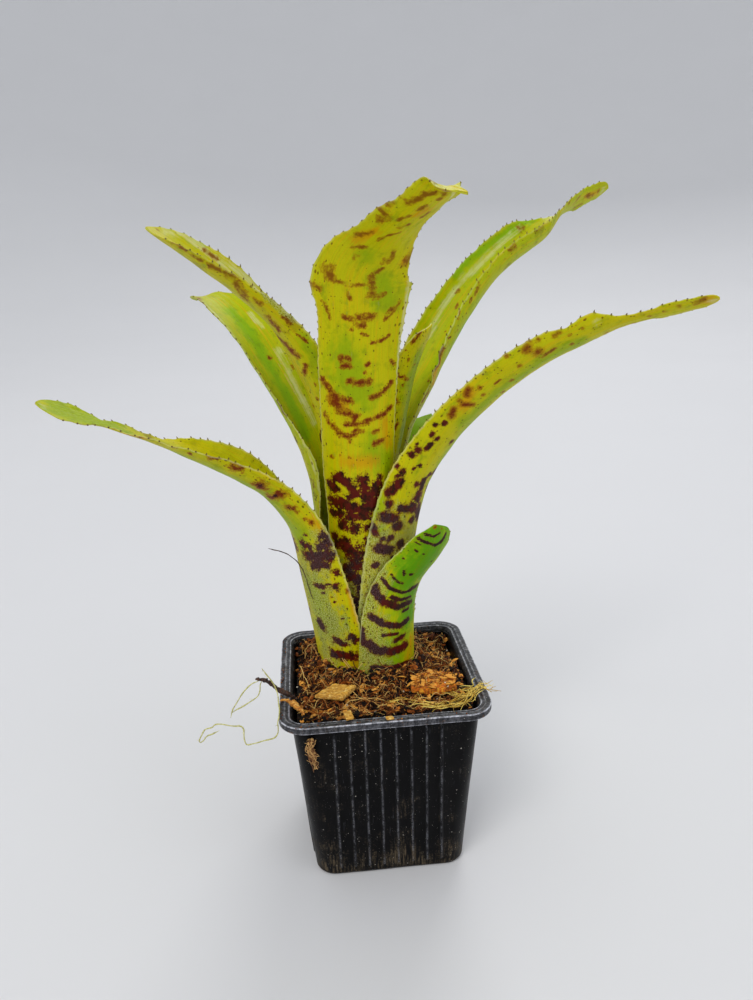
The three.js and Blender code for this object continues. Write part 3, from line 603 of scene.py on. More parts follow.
LEAVES["leaf_centre"] = {
    "material": "leaf_yellow",
    "turn": 266,
    "course": [
        [10.7, 0.5, 58, 16, 86, 0], [12.6, 1.2, 92, 13, 64, 0], [14.5, 1.3, 120, 13, 56, 0],
        [17, 1.6, 143, 13.4, 50, 0], [22, 2.6, 170, 13.4, 42, 0], [28, 4.3, 191, 13.8, 30, 0],
        [32, 5.4, 201, 13.6, 24, 0], [37, 10.6, 208, 10.8, 24, 6], [43, 15.6, 212.8, 8.4, 26, 12],
        [49, 20.6, 216.8, 6.6, 26, 10], [54, 24, 219.6, 6, 24, 2], [57.5, 26, 221.4, 5.6, 20, -4],
        [60.6, 29, 220.4, 2.2, 15, 0], [63, 31, 219.4, 1.2, 10, 0],
    ],
    "bulges": [
        (-1, 141, 1.6, 4), (-1, 128, -0.5, 6), (-1, 168, 1.8, 7), (-1, 179, 1.0, 4),
        (-1, 187.5, 2.8, 2.2), (1, 144, 1.6, 9), (1, 190.5, -2.2, 3), (-1, 192, -2.4, 2.6),
    ],
    "teeth": 0.3,
    "amber": [
        (2.6, (154, -8), (158, -7), (161, -5)), (2.4, (172, 0), (175, 1)), (2.6, (187, -3)),
        (3.4, (106, -8), (104, -4)), (2, (154, 9)), (3.4, (98, 9), (90, 10)),
        (4, (85, -4), (85, 5)),
    ],
    "rust": [
        (1.2, (111.5, -11.6), (109, -9.4), (106.6, -6.7), (106, -2.4)),
        (1.6, (105.4, -8.6), (104.4, -6.4)), (1.2, (112.4, -2.6), (112, 0), (112.4, 3.4)),
        (0.9, (111.5, 10.9), (109.6, 9.4), (107.6, 6.6), (107, 3.8)),
        (1.4, (104, -7.4), (102, -5), (101, -0.9)),
        (1.0, (98, -3.8), (98.6, 1), (99.6, 4.6), (100.2, 7.4), (102.4, 11)),
        (0.7, (101.5, -1), (98, -1)), (0.9, (100.4, -11.2), (98, -9.9)),
        (1.0, (97, -8.2), (95, -6.2), (94, -3), (94.6, -1)), (0.7, (96.2, -0.6), (95.8, 1.6)),
        (0.7, (95, 5), (95.4, 6.6)), (1.0, (91.1, 5.4), (91.8, 8)), (0.7, (92, -2.7)),
        (0.4, (93, -6)), (0.8, (86, -9)), (0.5, (87, -6)), (0.6, (86.6, -3)), (0.4, (83, -5.5)),
        (0.5, (80.5, -5.6)), (1.0, (119.6, -5.9), (119.6, -3.2)),
        (1.0, (117.2, -4.9), (117.2, -2.7)), (0.7, (117.7, 2.2), (118.2, 3.1)),
        (0.6, (115.3, 1.8)), (0.6, (118.6, 10.2), (117, 11.6)),
        (0.6, (124.9, 3.6), (125.4, 6.8), (126.9, 9.1)), (0.5, (127.8, 0.5), (126.9, 2.7)),
        (0.6, (128.8, -2.3)), (1.3, (132.6, -0.9), (133.1, 3.2)),
        (1.0, (130.7, -0.9), (130.2, 0.9)), (0.8, (132.6, -5.1), (132.2, -2.8)),
        (0.7, (136.5, -11.1), (133.1, -9.7), (131.7, -9.2)),
        (0.5, (131.7, 6.9), (133.6, 9.2), (137, 11.5)), (0.5, (133.6, 7.4), (135.5, 9.2)),
        (0.6, (139.9, -3.7), (138.4, -3.2)), (0.8, (140.6, -13.6), (140.4, -11.6)),
        (1.0, (147.1, 2.2), (142.3, 3.2), (138.9, 3.2)), (0.9, (139.4, 2.3), (139.4, 6.5)),
        (1.0, (143.3, -10.1), (143.3, -7.8)), (0.9, (144.7, -11), (144.7, -9.1)),
        (0.5, (142.8, -6.9), (142.3, -3.2), (142.8, 0), (143.7, 3.2)),
        (0.6, (148.1, 3), (150.5, 4.1)), (0.8, (150, -4.6)), (0.6, (151.9, -6.8), (154.4, -4.1)),
        (0.8, (156, -8.4), (160, -6)), (1.0, (152.4, 3.1), (154.4, 4.5), (155.8, 3.9)),
        (1.2, (153.4, 9.2), (155.8, 10.6)), (0.5, (158.2, -3), (161.1, -1.9), (163.5, 0.9)),
        (0.6, (165.4, -0.8), (167.4, 0.8)), (1.0, (165, -6.1), (167.4, -5.5), (168.3, -7)),
        (0.8, (170.3, -7.4), (172.2, -7)), (0.6, (168, -3), (171, -1.6)),
        (0.7, (173.6, -1.3), (176.5, -0.4)), (0.6, (171, 2), (174, 2.6)),
        (1.0, (175, -4.5), (177.5, -3.7), (180, -2.8), (182, -1.2)), (0.7, (180, 1.4), (183, 1.2)),
        (0.9, (187, -3.4), (188.4, -2)),
    ],
    "maroon": [
        (2.5, (70, -9.4), (70.5, -6), (68.4, -2), (68.6, 2), (70, 5.4)),
        (2.0, (75, -8.6), (78.4, -7.6), (79.4, -6.2)), (1.7, (76.4, -9.8)),
        (1.6, (79, -6), (77.4, -3.6), (75.4, -2.2)), (1.7, (79.4, 1.3), (76, 1.6), (72, 2)),
        (1.9, (76.6, 5.8), (72, 5.6)), (1.2, (79, 6.8)), (1.6, (66, -10), (66, -7)),
        (1.9, (65.6, -4), (66, -1), (66.4, 2)), (1.5, (72.6, -3.6), (74, -1)), (2.0, (62.4, -6)),
        (2.2, (61.4, -1.9)), (1.8, (61.6, 2.8)), (2.4, (56, -6), (53, -4.4)),
        (2.7, (52.5, -1.4), (48, -2)), (2.1, (56, 3)), (2.4, (46, -5), (42, -2)),
        (2.4, (44, 3), (38, 0)), (2.8, (34, -6), (33, 2), (34, 8)), (1.6, (57.6, -9.6), (55, -9)),
        (1.5, (74, 4), (70.6, 3.8)), (1.4, (69, -6), (67, -8)),
    ],
    "clear": [
        (0.7, (77.4, -7.4), (75.6, -5), (74.6, -4)), (0.5, (73.6, -7.4), (72.4, -4.6)),
        (0.6, (72.2, -0.8), (70.4, 0.4)), (0.5, (68.4, -9.8), (67.4, -8)),
    ],
    "green": [
        (9, (121, -5), (108, 0)), (7, (147, 6), (138, 8)), (6, (152, -3)), (8, (90, 5), (84, 8)),
        (22, (20, 0)),
    ],
    "pale": [
        (1.4, (150, -13), (160, -12), (172, -8)), (1.0, (185, 3), (150, 13), (110, 13)),
        (3, (188, -1)),
    ],
    "scurf": [(24, (8, 0), (30, 0))],
    "dots": 0.45,
    "wild": (0.0, 0.7),
}

LEAVES["leaf_long_right"] = {
    "material": "leaf_yellow",
    "turn": 335,
    "course": [
        [13.6, 0, 58, 20, 84, 0], [16.5, 0, 90, 20, 75, 0], [20.5, 0, 114, 19, 72, -5],
        [25, 0, 132, 16, 63, -12], [34, 0, 147, 13.3, 54, -20], [47, 0, 161, 12, 50, -22],
        [63, 0, 173, 11, 50, -23], [80, 0, 182, 7.8, 42, -25], [88, 0, 185, 3.4, 25, -25],
        [101, 0, 188.4, 3.6, 15, -32], [112.4, 0, 191.4, 2.6, 10, -32],
    ],
    "bulges": [(-1, 152, 1.2, 5), (-1, 144, -1.2, 4)],
    "amber": [(3.2, (106, -7), (111, -9)), (2.6, (132, -8)), (2.4, (62, -16)), (3, (182, -1))],
    "rust": [
        (1.4, (103.6, -8.8), (101.6, -7.6)), (1.0, (106.8, -7.8), (108.4, -5)), (0.9, (107, -9.6)),
        (1.3, (111.4, -10.2), (110, -9.4)), (0.9, (114, -8)), (0.8, (113, -5.2)),
        (0.5, (120, -5.4), (118, -5.6)), (0.8, (126, -10.7)), (1.5, (132.4, -9.2), (131.4, -8.8)),
        (0.8, (133.6, -10.4)), (1.7, (134, -5.9)), (0.7, (134, -3), (138.4, -3.8)),
        (0.7, (136, -9.4)), (1.0, (141.6, -8.6), (140.2, -8.2)), (0.8, (143, -1.9)),
        (0.7, (144, -6)), (0.6, (148, -5.7)), (0.9, (161, 1.9)), (0.8, (166, -0.7)),
        (0.7, (170, -0.9)), (0.8, (174, -1.6)), (1.0, (180.6, -2), (178.6, -1.2)),
        (0.8, (122, -2)), (0.9, (127, -5.4)), (0.8, (117, 1)), (0.9, (153, 1.4)),
    ],
    "maroon": [
        (1.0, (98.4, -8)), (0.9, (96.6, -10)), (1.0, (93.4, -9)), (0.9, (93, -6.6)),
        (1.0, (90.4, -7.4), (88.6, -8)), (1.3, (87, -10.3)), (1.2, (85, -11.4)),
        (0.7, (88.6, -11.6)), (0.8, (82.4, -7)), (0.7, (81, -8.6)), (0.9, (80, -14)),
        (1.2, (79, -11.8)), (0.8, (77.2, -12.8)), (1.6, (75.6, -11.4), (73.2, -12.8)),
        (1.4, (71.8, -14.2)), (1.5, (68.6, -13.2)), (1.5, (77.2, -2.2), (74, -1.6)),
        (1.2, (75.8, -5)), (1.1, (79.4, -0.4)), (2.4, (71, -2.2), (67.4, -3.6)),
        (1.4, (67.4, -8.9), (67, -5.6)), (2.1, (66, 0), (63, 2)), (1.5, (62.5, -3)),
        (1.9, (64.4, -14.2), (64, -11)), (2.0, (61.2, -9.2)), (1.4, (61, -18.2), (58.6, -16.8)),
        (1.3, (57, -11.4)), (1.0, (56.6, -13.8)), (1.8, (54.4, -7)),
        (1.8, (53.4, -15), (52.8, -11.4)), (0.9, (50, -9.6)), (1.3, (47.4, -15.6)),
        (1.6, (44, -12), (41, -14)), (1.8, (38, -12), (36, -16)), (0.8, (48, -5)), (1.2, (45, -8)),
        (2.2, (30, -8), (31, -16)), (1.9, (55, 4)), (1.6, (73, 4.4)), (1.5, (80, 2.6)),
        (1.4, (86, 5.4)), (2, (48, 7)), (1.8, (67, 9)), (1, (93, 0.6)), (1.9, (60, 14)),
        (1.4, (76, 11.5)), (1.5, (90, 10)),
    ],
    "clear": [(0.5, (70, -4.6), (68.4, -1.6))],
    "green": [
        (7, (66, 7), (104, 4)), (4.5, (100, -2), (145, 0)), (24, (30, -4)),
        (6, (68, -17), (60, -16)),
    ],
    "pale": [
        (2.4, (50, -19.6), (70, -18.6), (84, -16.6)), (1.2, (84, -16), (118, -12)),
        (2.4, (152, -5.6)), (2.6, (183, 0)),
    ],
    "scurf": [(24, (0, -6), (50, -9))],
    "ragged": 0.5,
    "dots": 0.65,
    "wild": (0.0, 0.7),
    "wander": 0.25,
}

LEAVES["leaf_low_left"] = {
    "material": "leaf_yellow",
    "turn": 210,
    "course": [
        [15, 0, 58, 19, 73, 0], [18, 0, 80, 17.5, 64, 0], [21.5, 0, 100, 16, 62, 0],
        [26, 0, 119.5, 14, 66, -4], [34, 0, 132, 13, 76, -10], [44, 0, 140.5, 12.5, 80, -15],
        [56, 0, 148.5, 10, 60, -11], [68, 0, 155.5, 6.5, 22, -2], [77, 0, 160.6, 4.6, 24, -9],
        [84, 0, 164.2, 2.6, 18, -18], [92, 0, 167.8, 4.7, 15, -27], [100, 0, 172, 2.2, 10, -27],
    ],
    "bulges": [(1, 137, -0.9, 4), (1, 150, 0.8, 4)],
    "amber": [
        (3, (67, 11), (60, 13)), (2.4, (133, 5), (126, 5)), (3, (40, 16), (28, 17)), (6, (12, 13)),
    ],
    "rust": [
        (1.4, (106.8, 9.5), (105, 10.4)), (1.6, (98.8, 9.5), (97, 10.1)),
        (2.1, (87.8, 8.3), (86.2, 7.8)), (1.9, (80.4, 6), (80, 9.4)),
        (1.3, (74.6, 7.4), (73.4, 8.6)), (0.8, (71.6, 8.9)), (0.7, (68, 9.5)), (1.0, (66, 10.8)),
        (1.1, (39.6, 15.8)), (0.9, (134, 4), (132.6, 6)), (0.8, (130, 5.6)), (0.8, (127, 4.6)),
        (1.2, (117, 8)), (0.8, (112, 6.6)),
    ],
    "maroon": [
        (1.0, (87, 8)), (1.0, (80.2, 7)), (0.7, (74, 7.8)), (1.4, (58.8, 3.4), (57.2, 6)),
        (0.8, (62, 6.5)), (2.6, (54, 4.6), (53, 8.5), (54.4, 12)), (2.1, (57, 11), (58.6, 13)),
        (1.4, (60.6, 12)), (1.6, (50.6, 10.6), (50, 6)), (1.4, (47, 13.2)), (0.6, (43, 9.6)),
        (1.1, (42.4, 4.8), (42, 7.4)), (1.6, (41.6, 12)), (0.8, (39.4, 7)), (0.5, (38, 10)),
        (0.5, (36, 10.4)), (0.5, (33, 14)), (0.6, (29, 12)), (1.6, (27, 2), (25, 3.4)),
        (1.2, (21, 8), (19, 11)), (2.0, (15, 6), (14, 13)), (1.4, (22, 13.6), (20, 15)),
        (2, (29, -6)), (2.2, (44, -6)), (3, (56, -4)), (1.8, (70, -4)), (1.9, (84, -3)),
        (1.5, (97, -2)),
    ],
    "clear": [(1.2, (48, 9.4))],
    "green": [
        (9, (62, 3), (75, 2), (112, 1)), (5, (125, 0)), (10, (40, 3), (26, 4)), (9, (95, -8)),
    ],
    "pale": [(2.2, (60, 16.6), (44, 18.4), (36, 18)), (1.8, (150, 2)), (1.2, (64, 14), (80, 14))],
    "inner_pale": [(2, (153, 1))],
    "inner_green": [(9, (150, 0), (134, 0)), (8, (120, 3), (80, 4))],
    "scurf": [(6, (60, 12), (50, 7)), (12, (44, 1), (24, 4)), (7, (14, 3))],
    "dots": 0.5,
    "wild": (0.1, 0.5),
    "wander": 0.3,
}

LEAVES["leaf_front_short"] = {
    "material": "leaf_green",
    "turn": 292,
    "course": [
        [18.5, 2, 58, 12.5, 40, 0], [19.8, 2.6, 84, 11.4, 38, 0], [20.4, 4.4, 93, 10.9, 43, 0],
        [21.8, 8, 100, 10.6, 50, 0], [24.8, 12.6, 107, 9.9, 48, 0], [28, 14.6, 113.6, 9, 42, 0],
        [29.7, 14.3, 119, 7.4, 32, 0], [30, 14, 121.5, 3.4, 22, 0],
    ],
    "tip": 7,
    "bulges": [(1, 63, -1.2, 4)],
    "rust": [(0.7, (67.4, -0.1)), (0.5, (66, 2.4))],
    "maroon": [
        (0.6, (64, -6), (62, -3.5), (60.2, 0.3), (61.2, 3), (63, 4.5)),
        (0.5, (65.6, -3.7), (64, -0.8), (64.6, 1.5)), (0.4, (62, -6.8), (60.6, -5)),
        (0.5, (57, -6), (56.4, -5)), (0.5, (56, -2.6)), (0.6, (50, -7.4)), (0.4, (53, 3)),
        (0.5, (46, -4.4), (45, -3.2)), (0.5, (46, -1.6), (46.4, -0.6)),
        (0.45, (43, -7), (41.8, -4), (42, -1.8)),
        (0.6, (40.4, -8.8), (38.8, -5), (38.8, 0.4), (41, 4.3)), (0.9, (41, 3.4), (42.4, 6)),
        (1.3, (37, -9.6), (34.6, -5.8), (33.2, 0.4), (35, 6.2)),
        (0.7, (36.4, -3), (36, 1), (37.6, 5)), (0.6, (31, 3), (32, 6)),
        (1.2, (29.4, -8.2), (27, -3.4), (25.4, 2.7), (27, 6.1)), (0.6, (23, -4), (22.6, 2)),
        (1.0, (25, -11), (20, -10.4)), (1.7, (20, -8.4), (17.4, -5.5), (16, 0), (16.6, 5.5)),
        (1.0, (20, 1), (21, 5)), (1.1, (11, -7), (9.6, 0), (9, 6.5)),
    ],
    "clear": [(0.5, (35.6, -4.4)), (0.4, (28.6, -2.6))],
    "deep": [(13, (66, 0), (44, 0)), (8, (40, 4), (28, 6))],
    "green": [(16, (66, 0), (52, 0)), (9, (40, 3), (30, 3)), (10, (20, 1), (8, 2))],
    "amber": [(3.5, (6, 6), (18, 9))],
    "pale": [(1.3, (64, -8.6), (50, -10.8), (40, -11.6), (24, -11.6)), (0.9, (60, 8.6), (40, 11))],
    "scurf": [(7, (40, -11), (28, -10)), (10, (24, -8), (4, -6)), (5, (6, 2))],
    "ragged": 0.6,
    "dots": 0.3,
    "wild": (0.0, 0.5),
}

LEAVES["leaf_upper_left"] = {
    "material": "leaf_yellow",
    "turn": 200,
    "course": [
        [6.4, 0, 58, 12, 107, 0], [9, 0, 110, 12, 85, 0], [12.5, 0, 156, 13.2, 74, 0],
        [18, 0, 171.5, 13.5, 71, 0], [27, 0, 187, 12.4, 66, -9], [38.5, 0, 198.5, 11.4, 66, -18],
        [47.5, 0, 205.5, 10.3, 56, -20], [56, 0, 212, 7.8, 40, -20], [61.8, 0, 216.4, 3, 14, -20],
    ],
    "bulges": [(-1, 140, -0.6, 8)],
    "rust": [
        (0.8, (176, 1)), (1.0, (171, 7.9), (167, 8.5)), (0.9, (165, 8.6), (162, 8.3)),
        (1.1, (159, 8.8), (156, 9.8), (153, 9.6)), (1.4, (152, 9.7), (149, 8.4), (145, 5.8)),
        (0.9, (143, 8.2), (141, 8.3)), (1.2, (136, 5.3), (134, 5.3), (131, 4.6)),
        (0.7, (134, 9.9), (131, 10.4)), (1.4, (128, 0.5), (126, 2.6), (121, 4.8)),
        (0.6, (127, 9.8), (124, 11)), (0.8, (117, 6), (114, 3.6)), (0.6, (110, 5.9)),
        (0.6, (113, 11)), (0.8, (105, 4)), (1.0, (98, 3)), (0.8, (102, 0)),
    ],
    "maroon": [
        (1.3, (92, 1), (90, -2)), (1.2, (84, 2)), (1.8, (78, -1), (76, 3)),
        (2.4, (66, -2), (64, 4)), (3, (54, 0), (48, -4)),
    ],
    "green": [(5, (150, -6), (118, -6)), (4, (125, 10), (104, 10)), (14, (44, 0))],
    "pale": [(1.6, (146, 11.6), (130, 12.6)), (3, (177, 1))],
    "inner_rust": [(0.9, (160, -8.3), (156, -8.3)), (0.7, (175, -3.5))],
    "inner_pale": [(3.4, (173, -5), (168, -8.6), (160, -8.6), (150, -9), (142, -11))],
    "scurf": [(2.4, (142, 12), (132, 12)), (20, (16, 0), (44, 0))],
    "dots": 0.6,
    "wild": (0.35, 0.5),
    "wander": 0.2,
}

LEAVES["leaf_mid_left"] = {
    "material": "leaf_green",
    "turn": 145,
    "course": [
        [12.2, 0, 58, 15, 70, 0], [13.6, 0, 92, 11, 55, 0], [15.3, 0, 117.5, 11.6, 66, 0],
        [18, 0, 137, 14.5, 86, 0], [22, 0, 147, 13, 72, -2], [30, 0, 162, 12, 58, -6],
        [41, 0, 178.5, 11.5, 46, -6], [53, 0, 191, 10.5, 34, -6], [60, 0, 195, 7, 20, -4],
        [65, 0, 194.2, 2.2, 12, 0],
    ],
    "tip": 1.6,
    "bulges": [(-1, 155.4, 0.9, 1.6), (1, 155.4, 0.9, 1.6), (-1, 151, -0.8, 1.6)],
    "rust": [(1.2, (154, 0))],
    "green": [(16, (140, 0), (100, 0))],
    "pale": [(1, (140, 13), (60, 13))],
    "inner_rust": [(0.9, (120, -3.5)), (0.9, (113, -9.5)), (1.1, (150, 7), (148, 9))],
    "inner_green": [(4, (142, -2), (112, -1), (90, -2))],
    # the long pale strokes: a whitish sheen along the channel, partly bloom and partly painted
    # highlight
    "inner_pale": [
        (2.8, (121, -8), (111, -7.1), (104, -6.9), (92, -7.2)), (1.7, (138, -8), (131, -8)),
        (3, (150, 8), (120, 10)), (1.5, (152, 1)),
    ],
    "scurf": [(16, (16, 0), (34, 0))],
    "dots": 0.3,
    "wild": (1.0, 0.1),
    "wander": 0.2,
}

LEAVES["leaf_upper_right"] = {
    "material": "leaf_green",
    "turn": 28,
    "course": [
        [8, 0, 58, 14.5, 104, 0], [11, 0, 100, 13, 80, 0], [17, 0, 134, 11.5, 60, 0],
        [22, 0, 150, 13, 62, 5], [30.5, 0, 162, 14.2, 68, 5], [46, 0, 181.5, 14.5, 88, 0],
        [65, 0, 199.5, 13.8, 86, -3], [86, 0, 211.5, 12.5, 78, 3], [97, 0, 220, 6.2, 36, -22],
        [108.6, 0, 225.4, 5.2, 18, -52], [118, 0, 228.6, 4.2, 15, -50],
        [123, 0, 230, 2.4, 10, -45],
    ],
    "amber": [(3.2, (116, -14.6), (108, -13)), (2, (219, 0), (212, -1))],
    "bulges": [
        (-1, 118, 1.3, 2.2), (-1, 114, -0.9, 2), (-1, 110, 1.1, 2.2), (-1, 212, -0.8, 6),
        (1, 213, -1.0, 7),
    ],
    "rust": [
        (1.0, (216, 0), (212, -1)), (0.7, (207, -3), (204, -2)), (0.9, (219, -1)),
        (0.8, (200, -5)), (1.0, (119, -14), (112, -14.2)), (0.6, (211, 2), (207, 2.4)),
        (1.1, (163.6, -12.3), (162, -12.4)), (0.5, (159, -10.6)), (0.6, (150, -11.8)),
        (0.7, (145.4, -12.9), (142, -12)), (0.5, (140, -12.7), (138, -12.3)),
        (0.5, (133, -14), (131, -13.4)), (0.5, (128, -11)), (0.5, (124, -13)),
        (0.6, (104, -12), (100, -13)),
    ],
    "green": [(14, (140, 0), (60, 0))],
    "pale": [(1, (214, -5), (190, -9)), (3, (222, 0))],
    "inner_rust": [
        (1.3, (184.4, 9), (182.6, 9)), (0.6, (152.4, 1.2), (147.6, 1.6)),
        (0.5, (142, 5.7), (140, 5.4)), (0.6, (147, 8.4), (145, 8.8)), (0.5, (130, 3.4)),
        (0.6, (110, -2)), (0.6, (160, -3.6), (157, -4)), (0.7, (139, -3)),
        (0.8, (131, -6), (129, -8)),
    ],
    "inner_green": [(3, (200, 9), (150, 13.6)), (7, (170, -3), (120, -3))],
    # the long pale strokes: a whitish sheen along the channel, partly bloom and partly painted
    # highlight
    "inner_pale": [
        (3.0, (184, 10), (169, 8.8), (160, 8.4), (150, 10)),
        (2.4, (150, 10), (137, 9.6), (126, 8.4)), (1.8, (206, 4), (196, 7)),
    ],
    "scurf": [(18, (20, 0), (44, 0))],
    "dots": 0.45,
    "wild": (0.4, 0.1),
    "wander": 0.35,
}

LEAVES["leaf_back_short"] = {
    "material": "leaf_green",
    "turn": 45,
    "course": [
        [15.4, 0, 58, 14, 52, 0], [18, 0, 90, 13, 44, 0], [22.2, 0, 115, 11.5, 40, 0],
        [27.5, 0, 132, 9.5, 36, 0], [36, 0, 143, 6.5, 30, 0], [46, 0, 148, 1.5, 10, 0],
    ],
    "maroon": [
        (1.8, (31, -9), (29, 0), (31, 9)), (2.4, (20, -10), (18, 0), (20, 10)),
        (1.2, (42, -7), (40, 0), (42, 6)), (0.8, (54, -5), (53, 2)), (0.6, (88, -3), (87, 3)),
    ],
    "green": [(18, (100, 0), (50, 0))],
    "inner_green": [(18, (100, 0), (50, 0))],
    "scurf": [(16, (14, 0), (26, 0))],
    "dots": 0.15,
    "wild": (0.25, 0.0),
}

LEAVES["leaf_young"] = {
    "material": "leaf_yellow",
    "turn": 345,
    "course": [
        [4.8, 0, 58, 8.5, 105, 0], [9, 0, 110, 10.5, 88, 0], [14, 0, 136, 11.5, 78, 0],
        [17.8, 0, 152, 12, 74, 0], [21.3, 0, 168.5, 12, 70, 0], [24.5, 0, 176.5, 11, 60, 0],
        [27, 0, 182.5, 7, 40, 0], [27.6, 0, 185, 1, 20, 0],
    ],
    "rust": [
        (0.8, (127, -7), (123, -8.7)), (0.7, (117, -7.8)), (0.7, (112, -10), (111, -5)),
        (0.6, (109, -7)), (0.5, (120, -10)), (0.5, (116, -4)), (0.7, (105, -9), (103, -7)),
        (0.8, (99, -8)), (0.9, (96, -6), (93, -8)), (0.7, (88, -6)), (0.8, (84, -9)),
    ],
    "maroon": [(1.0, (78, -7), (76, -4)), (1.4, (68, -8), (64, -4))],
    "green": [(7, (118, -2), (90, 0))],
    "scurf": [(20, (16, 0), (44, 0))],
    "dots": 0.9,
    "wild": (0.5, 0.5),
}

LEAVES["leaf_heart"] = {
    "material": "leaf_green",
    "turn": 120,
    "course": [
        [2.5, 0, 58, 6.4, 146, 0], [2.5, 0, 90, 6.2, 140, 0], [2.3, 0, 108, 4, 105, 0],
        [1.9, 0, 119, 0.8, 30, 0],
    ],
    "green": [(20, (60, 0), (30, 0))],
    "pale": [(12, (4, 0))],
    "dots": 0.1,
    "wild": (0.2, 0.0),
    "wander": 0.0,
}


def even_stations(course, step):
    """Smooth stations at even lengths along a leaf's keel, and its length."""
    rows = np.array(course, float)
    runs = np.sqrt(np.linalg.norm(np.diff(rows[:, :3], axis=0), axis=1))
    knots = np.concatenate([[0], np.cumsum(runs)])
    spans = np.diff(knots)[:, None]
    slopes = np.diff(rows, axis=0) / spans
    inner = (slopes[:-1] * spans[1:] + slopes[1:] * spans[:-1]) / (spans[1:] + spans[:-1])
    tangents = np.vstack([slopes[:1], inner, slopes[-1:]])
    t = np.linspace(0, knots[-1], COURSE_SAMPLES)
    i = np.clip(np.searchsorted(knots, t, side="right") - 1, 0, len(rows) - 2)
    s = ((t - knots[i]) / spans[i, 0])[:, None]
    start = 2 * s ** 3 - 3 * s ** 2 + 1
    fine = (start * rows[i] + (s ** 3 - 2 * s ** 2 + s) * spans[i] * tangents[i]
            + (1 - start) * rows[i + 1] + (s ** 3 - s ** 2) * spans[i] * tangents[i + 1])
    lengths = lengths_along(fine[:, :3])
    even = np.linspace(0, lengths[-1], int(lengths[-1] / step) + 1)
    return values_at(even, lengths, fine), lengths[-1]


class LeafForm:
    """A leaf's keel and the arc that its section follows at each row."""

    def __init__(self, leaf, step=LEAF_STEP):
        turn = math.radians(leaf["turn"])
        outward = np.array([math.cos(turn), math.sin(turn), 0])
        aside = np.array([-math.sin(turn), math.cos(turn), 0])
        up = np.array([0, 0, 1])
        rows, self.length = even_stations(leaf["course"], step)
        self.along = np.linspace(0, self.length, len(rows))
        self.keel = (np.array([PLANT_X, PLANT_Y, 0]) + rows[:, :1] * outward
                     + rows[:, 1:2] * aside + rows[:, 2:3] * up)
        self.heading = np.gradient(self.keel, axis=0)
        self.heading /= np.linalg.norm(self.heading, axis=1)[:, None]
        flat = aside - self.heading * (self.heading @ aside)[:, None]
        flat /= np.linalg.norm(flat, axis=1)[:, None]
        inward = np.cross(self.heading, flat)
        inward[inward @ up < inward @ outward] *= -1
        roll = np.radians(rows[:, 5:6])
        self.wide = flat * np.cos(roll) + inward * np.sin(roll)
        self.deep = inward * np.cos(roll) - flat * np.sin(roll)
        tip = np.clip((self.along - self.length) / leaf.get("tip", TIP_LENGTH) + 1, 0, 1)
        self.half = rows[:, 3] * np.sqrt(1 - TIP_ROUNDING * tip ** 2)
        self.fold = np.radians(rows[:, 4])
        self.radius = self.half / self.fold

    def sheet(self, across, lift):
        """Points at shares across the width, -1 to 1, lifted from the middle of the leaf."""
        angle = across * self.fold[:, None]
        sine, cosine = np.sin(angle)[..., None], np.cos(angle)[..., None]
        wide, deep = self.wide[:, None], self.deep[:, None]
        radius = self.radius[:, None, None]
        return (self.keel[:, None] + wide * radius * sine + deep * radius * (1 - cosine)
                + (deep * cosine - wide * sine) * lift[..., None])


def stroke_field(strokes, along, across):
    """How deep each point lies in the nearest stroke: 1 on its line, 0 at its edge."""
    along, across = np.broadcast_arrays(along, across)
    field = np.full(along.shape, FAR_FROM_STROKES)
    for radius, *places in strokes:
        for (s0, w0), (s1, w1) in zip(places, places[1:] or places):
            ds, dw = s1 - s0, w1 - w0
            share = ((along - s0) * ds + (across - w0) * dw) / max(ds * ds + dw * dw, 1e-9)
            share = np.clip(share, 0, 1)
            away = np.hypot(along - s0 - share * ds, across - w0 - share * dw)
            field = np.maximum(field, 1 - away / radius)
    return field


def waves(value, seed, length):
    """A smooth wandering line of that wave length, from about -1 to 1."""
    draw = random.Random(seed)
    total = np.zeros_like(value)
    for share in (1.0, 0.57, 0.31):
        phase = draw.uniform(0, WAVE_PHASES)
        total += share * np.sin(2 * math.pi * value / (length * share) + phase)
    return total / 1.6


def leaf_faces(rows, columns):
    """Faces of a leaf's skin. Strips between the outer and inner rows close its two ends."""
    faces = skin_faces(rows, 2 * columns)[:-2]
    last = (rows - 1) * 2 * columns
    for i in range(columns - 1):
        j = 2 * columns - 1 - i
        faces.append((i, j, j - 1, i + 1))
        faces.append((last + i, last + i + 1, last + j - 1, last + j))
    return faces


def leaf_columns():
    """Shares across a leaf, closer together at its rounded margins."""
    inside = np.linspace(-0.95, 0.95, LEAF_COLUMNS)
    return np.concatenate([[-1, -0.992, -0.975], inside, [0.975, 0.992, 1]])


def spine_places(form, seed):
    """The margin's side and the place along it for each of a leaf's spines."""
    draw = random.Random(seed)
    places = []
    for side in (-1, 1):
        at = SPINE_START + draw.uniform(0, SPINE_PITCH)
        while at < form.length - SPINE_END:
            places.append((side, at))
            at += SPINE_PITCH * draw.uniform(0.75, 1.3)
    return places


def margin_reach(form, leaf, spines, side):
    """How far a margin stands out beside its even line, at each row."""
    bumps = [bulge[1:] for bulge in leaf.get("bulges", []) if bulge[0] == side]
    bumps += [(at, SCALLOP, SCALLOP_WIDTH) for spine_side, at in spines if spine_side == side]
    reach = np.zeros(len(form.along))
    for at, amount, half_length in bumps:
        reach += amount * np.exp(-((form.along - at) / half_length) ** 2)
    return np.maximum(reach, -0.6 * form.half)


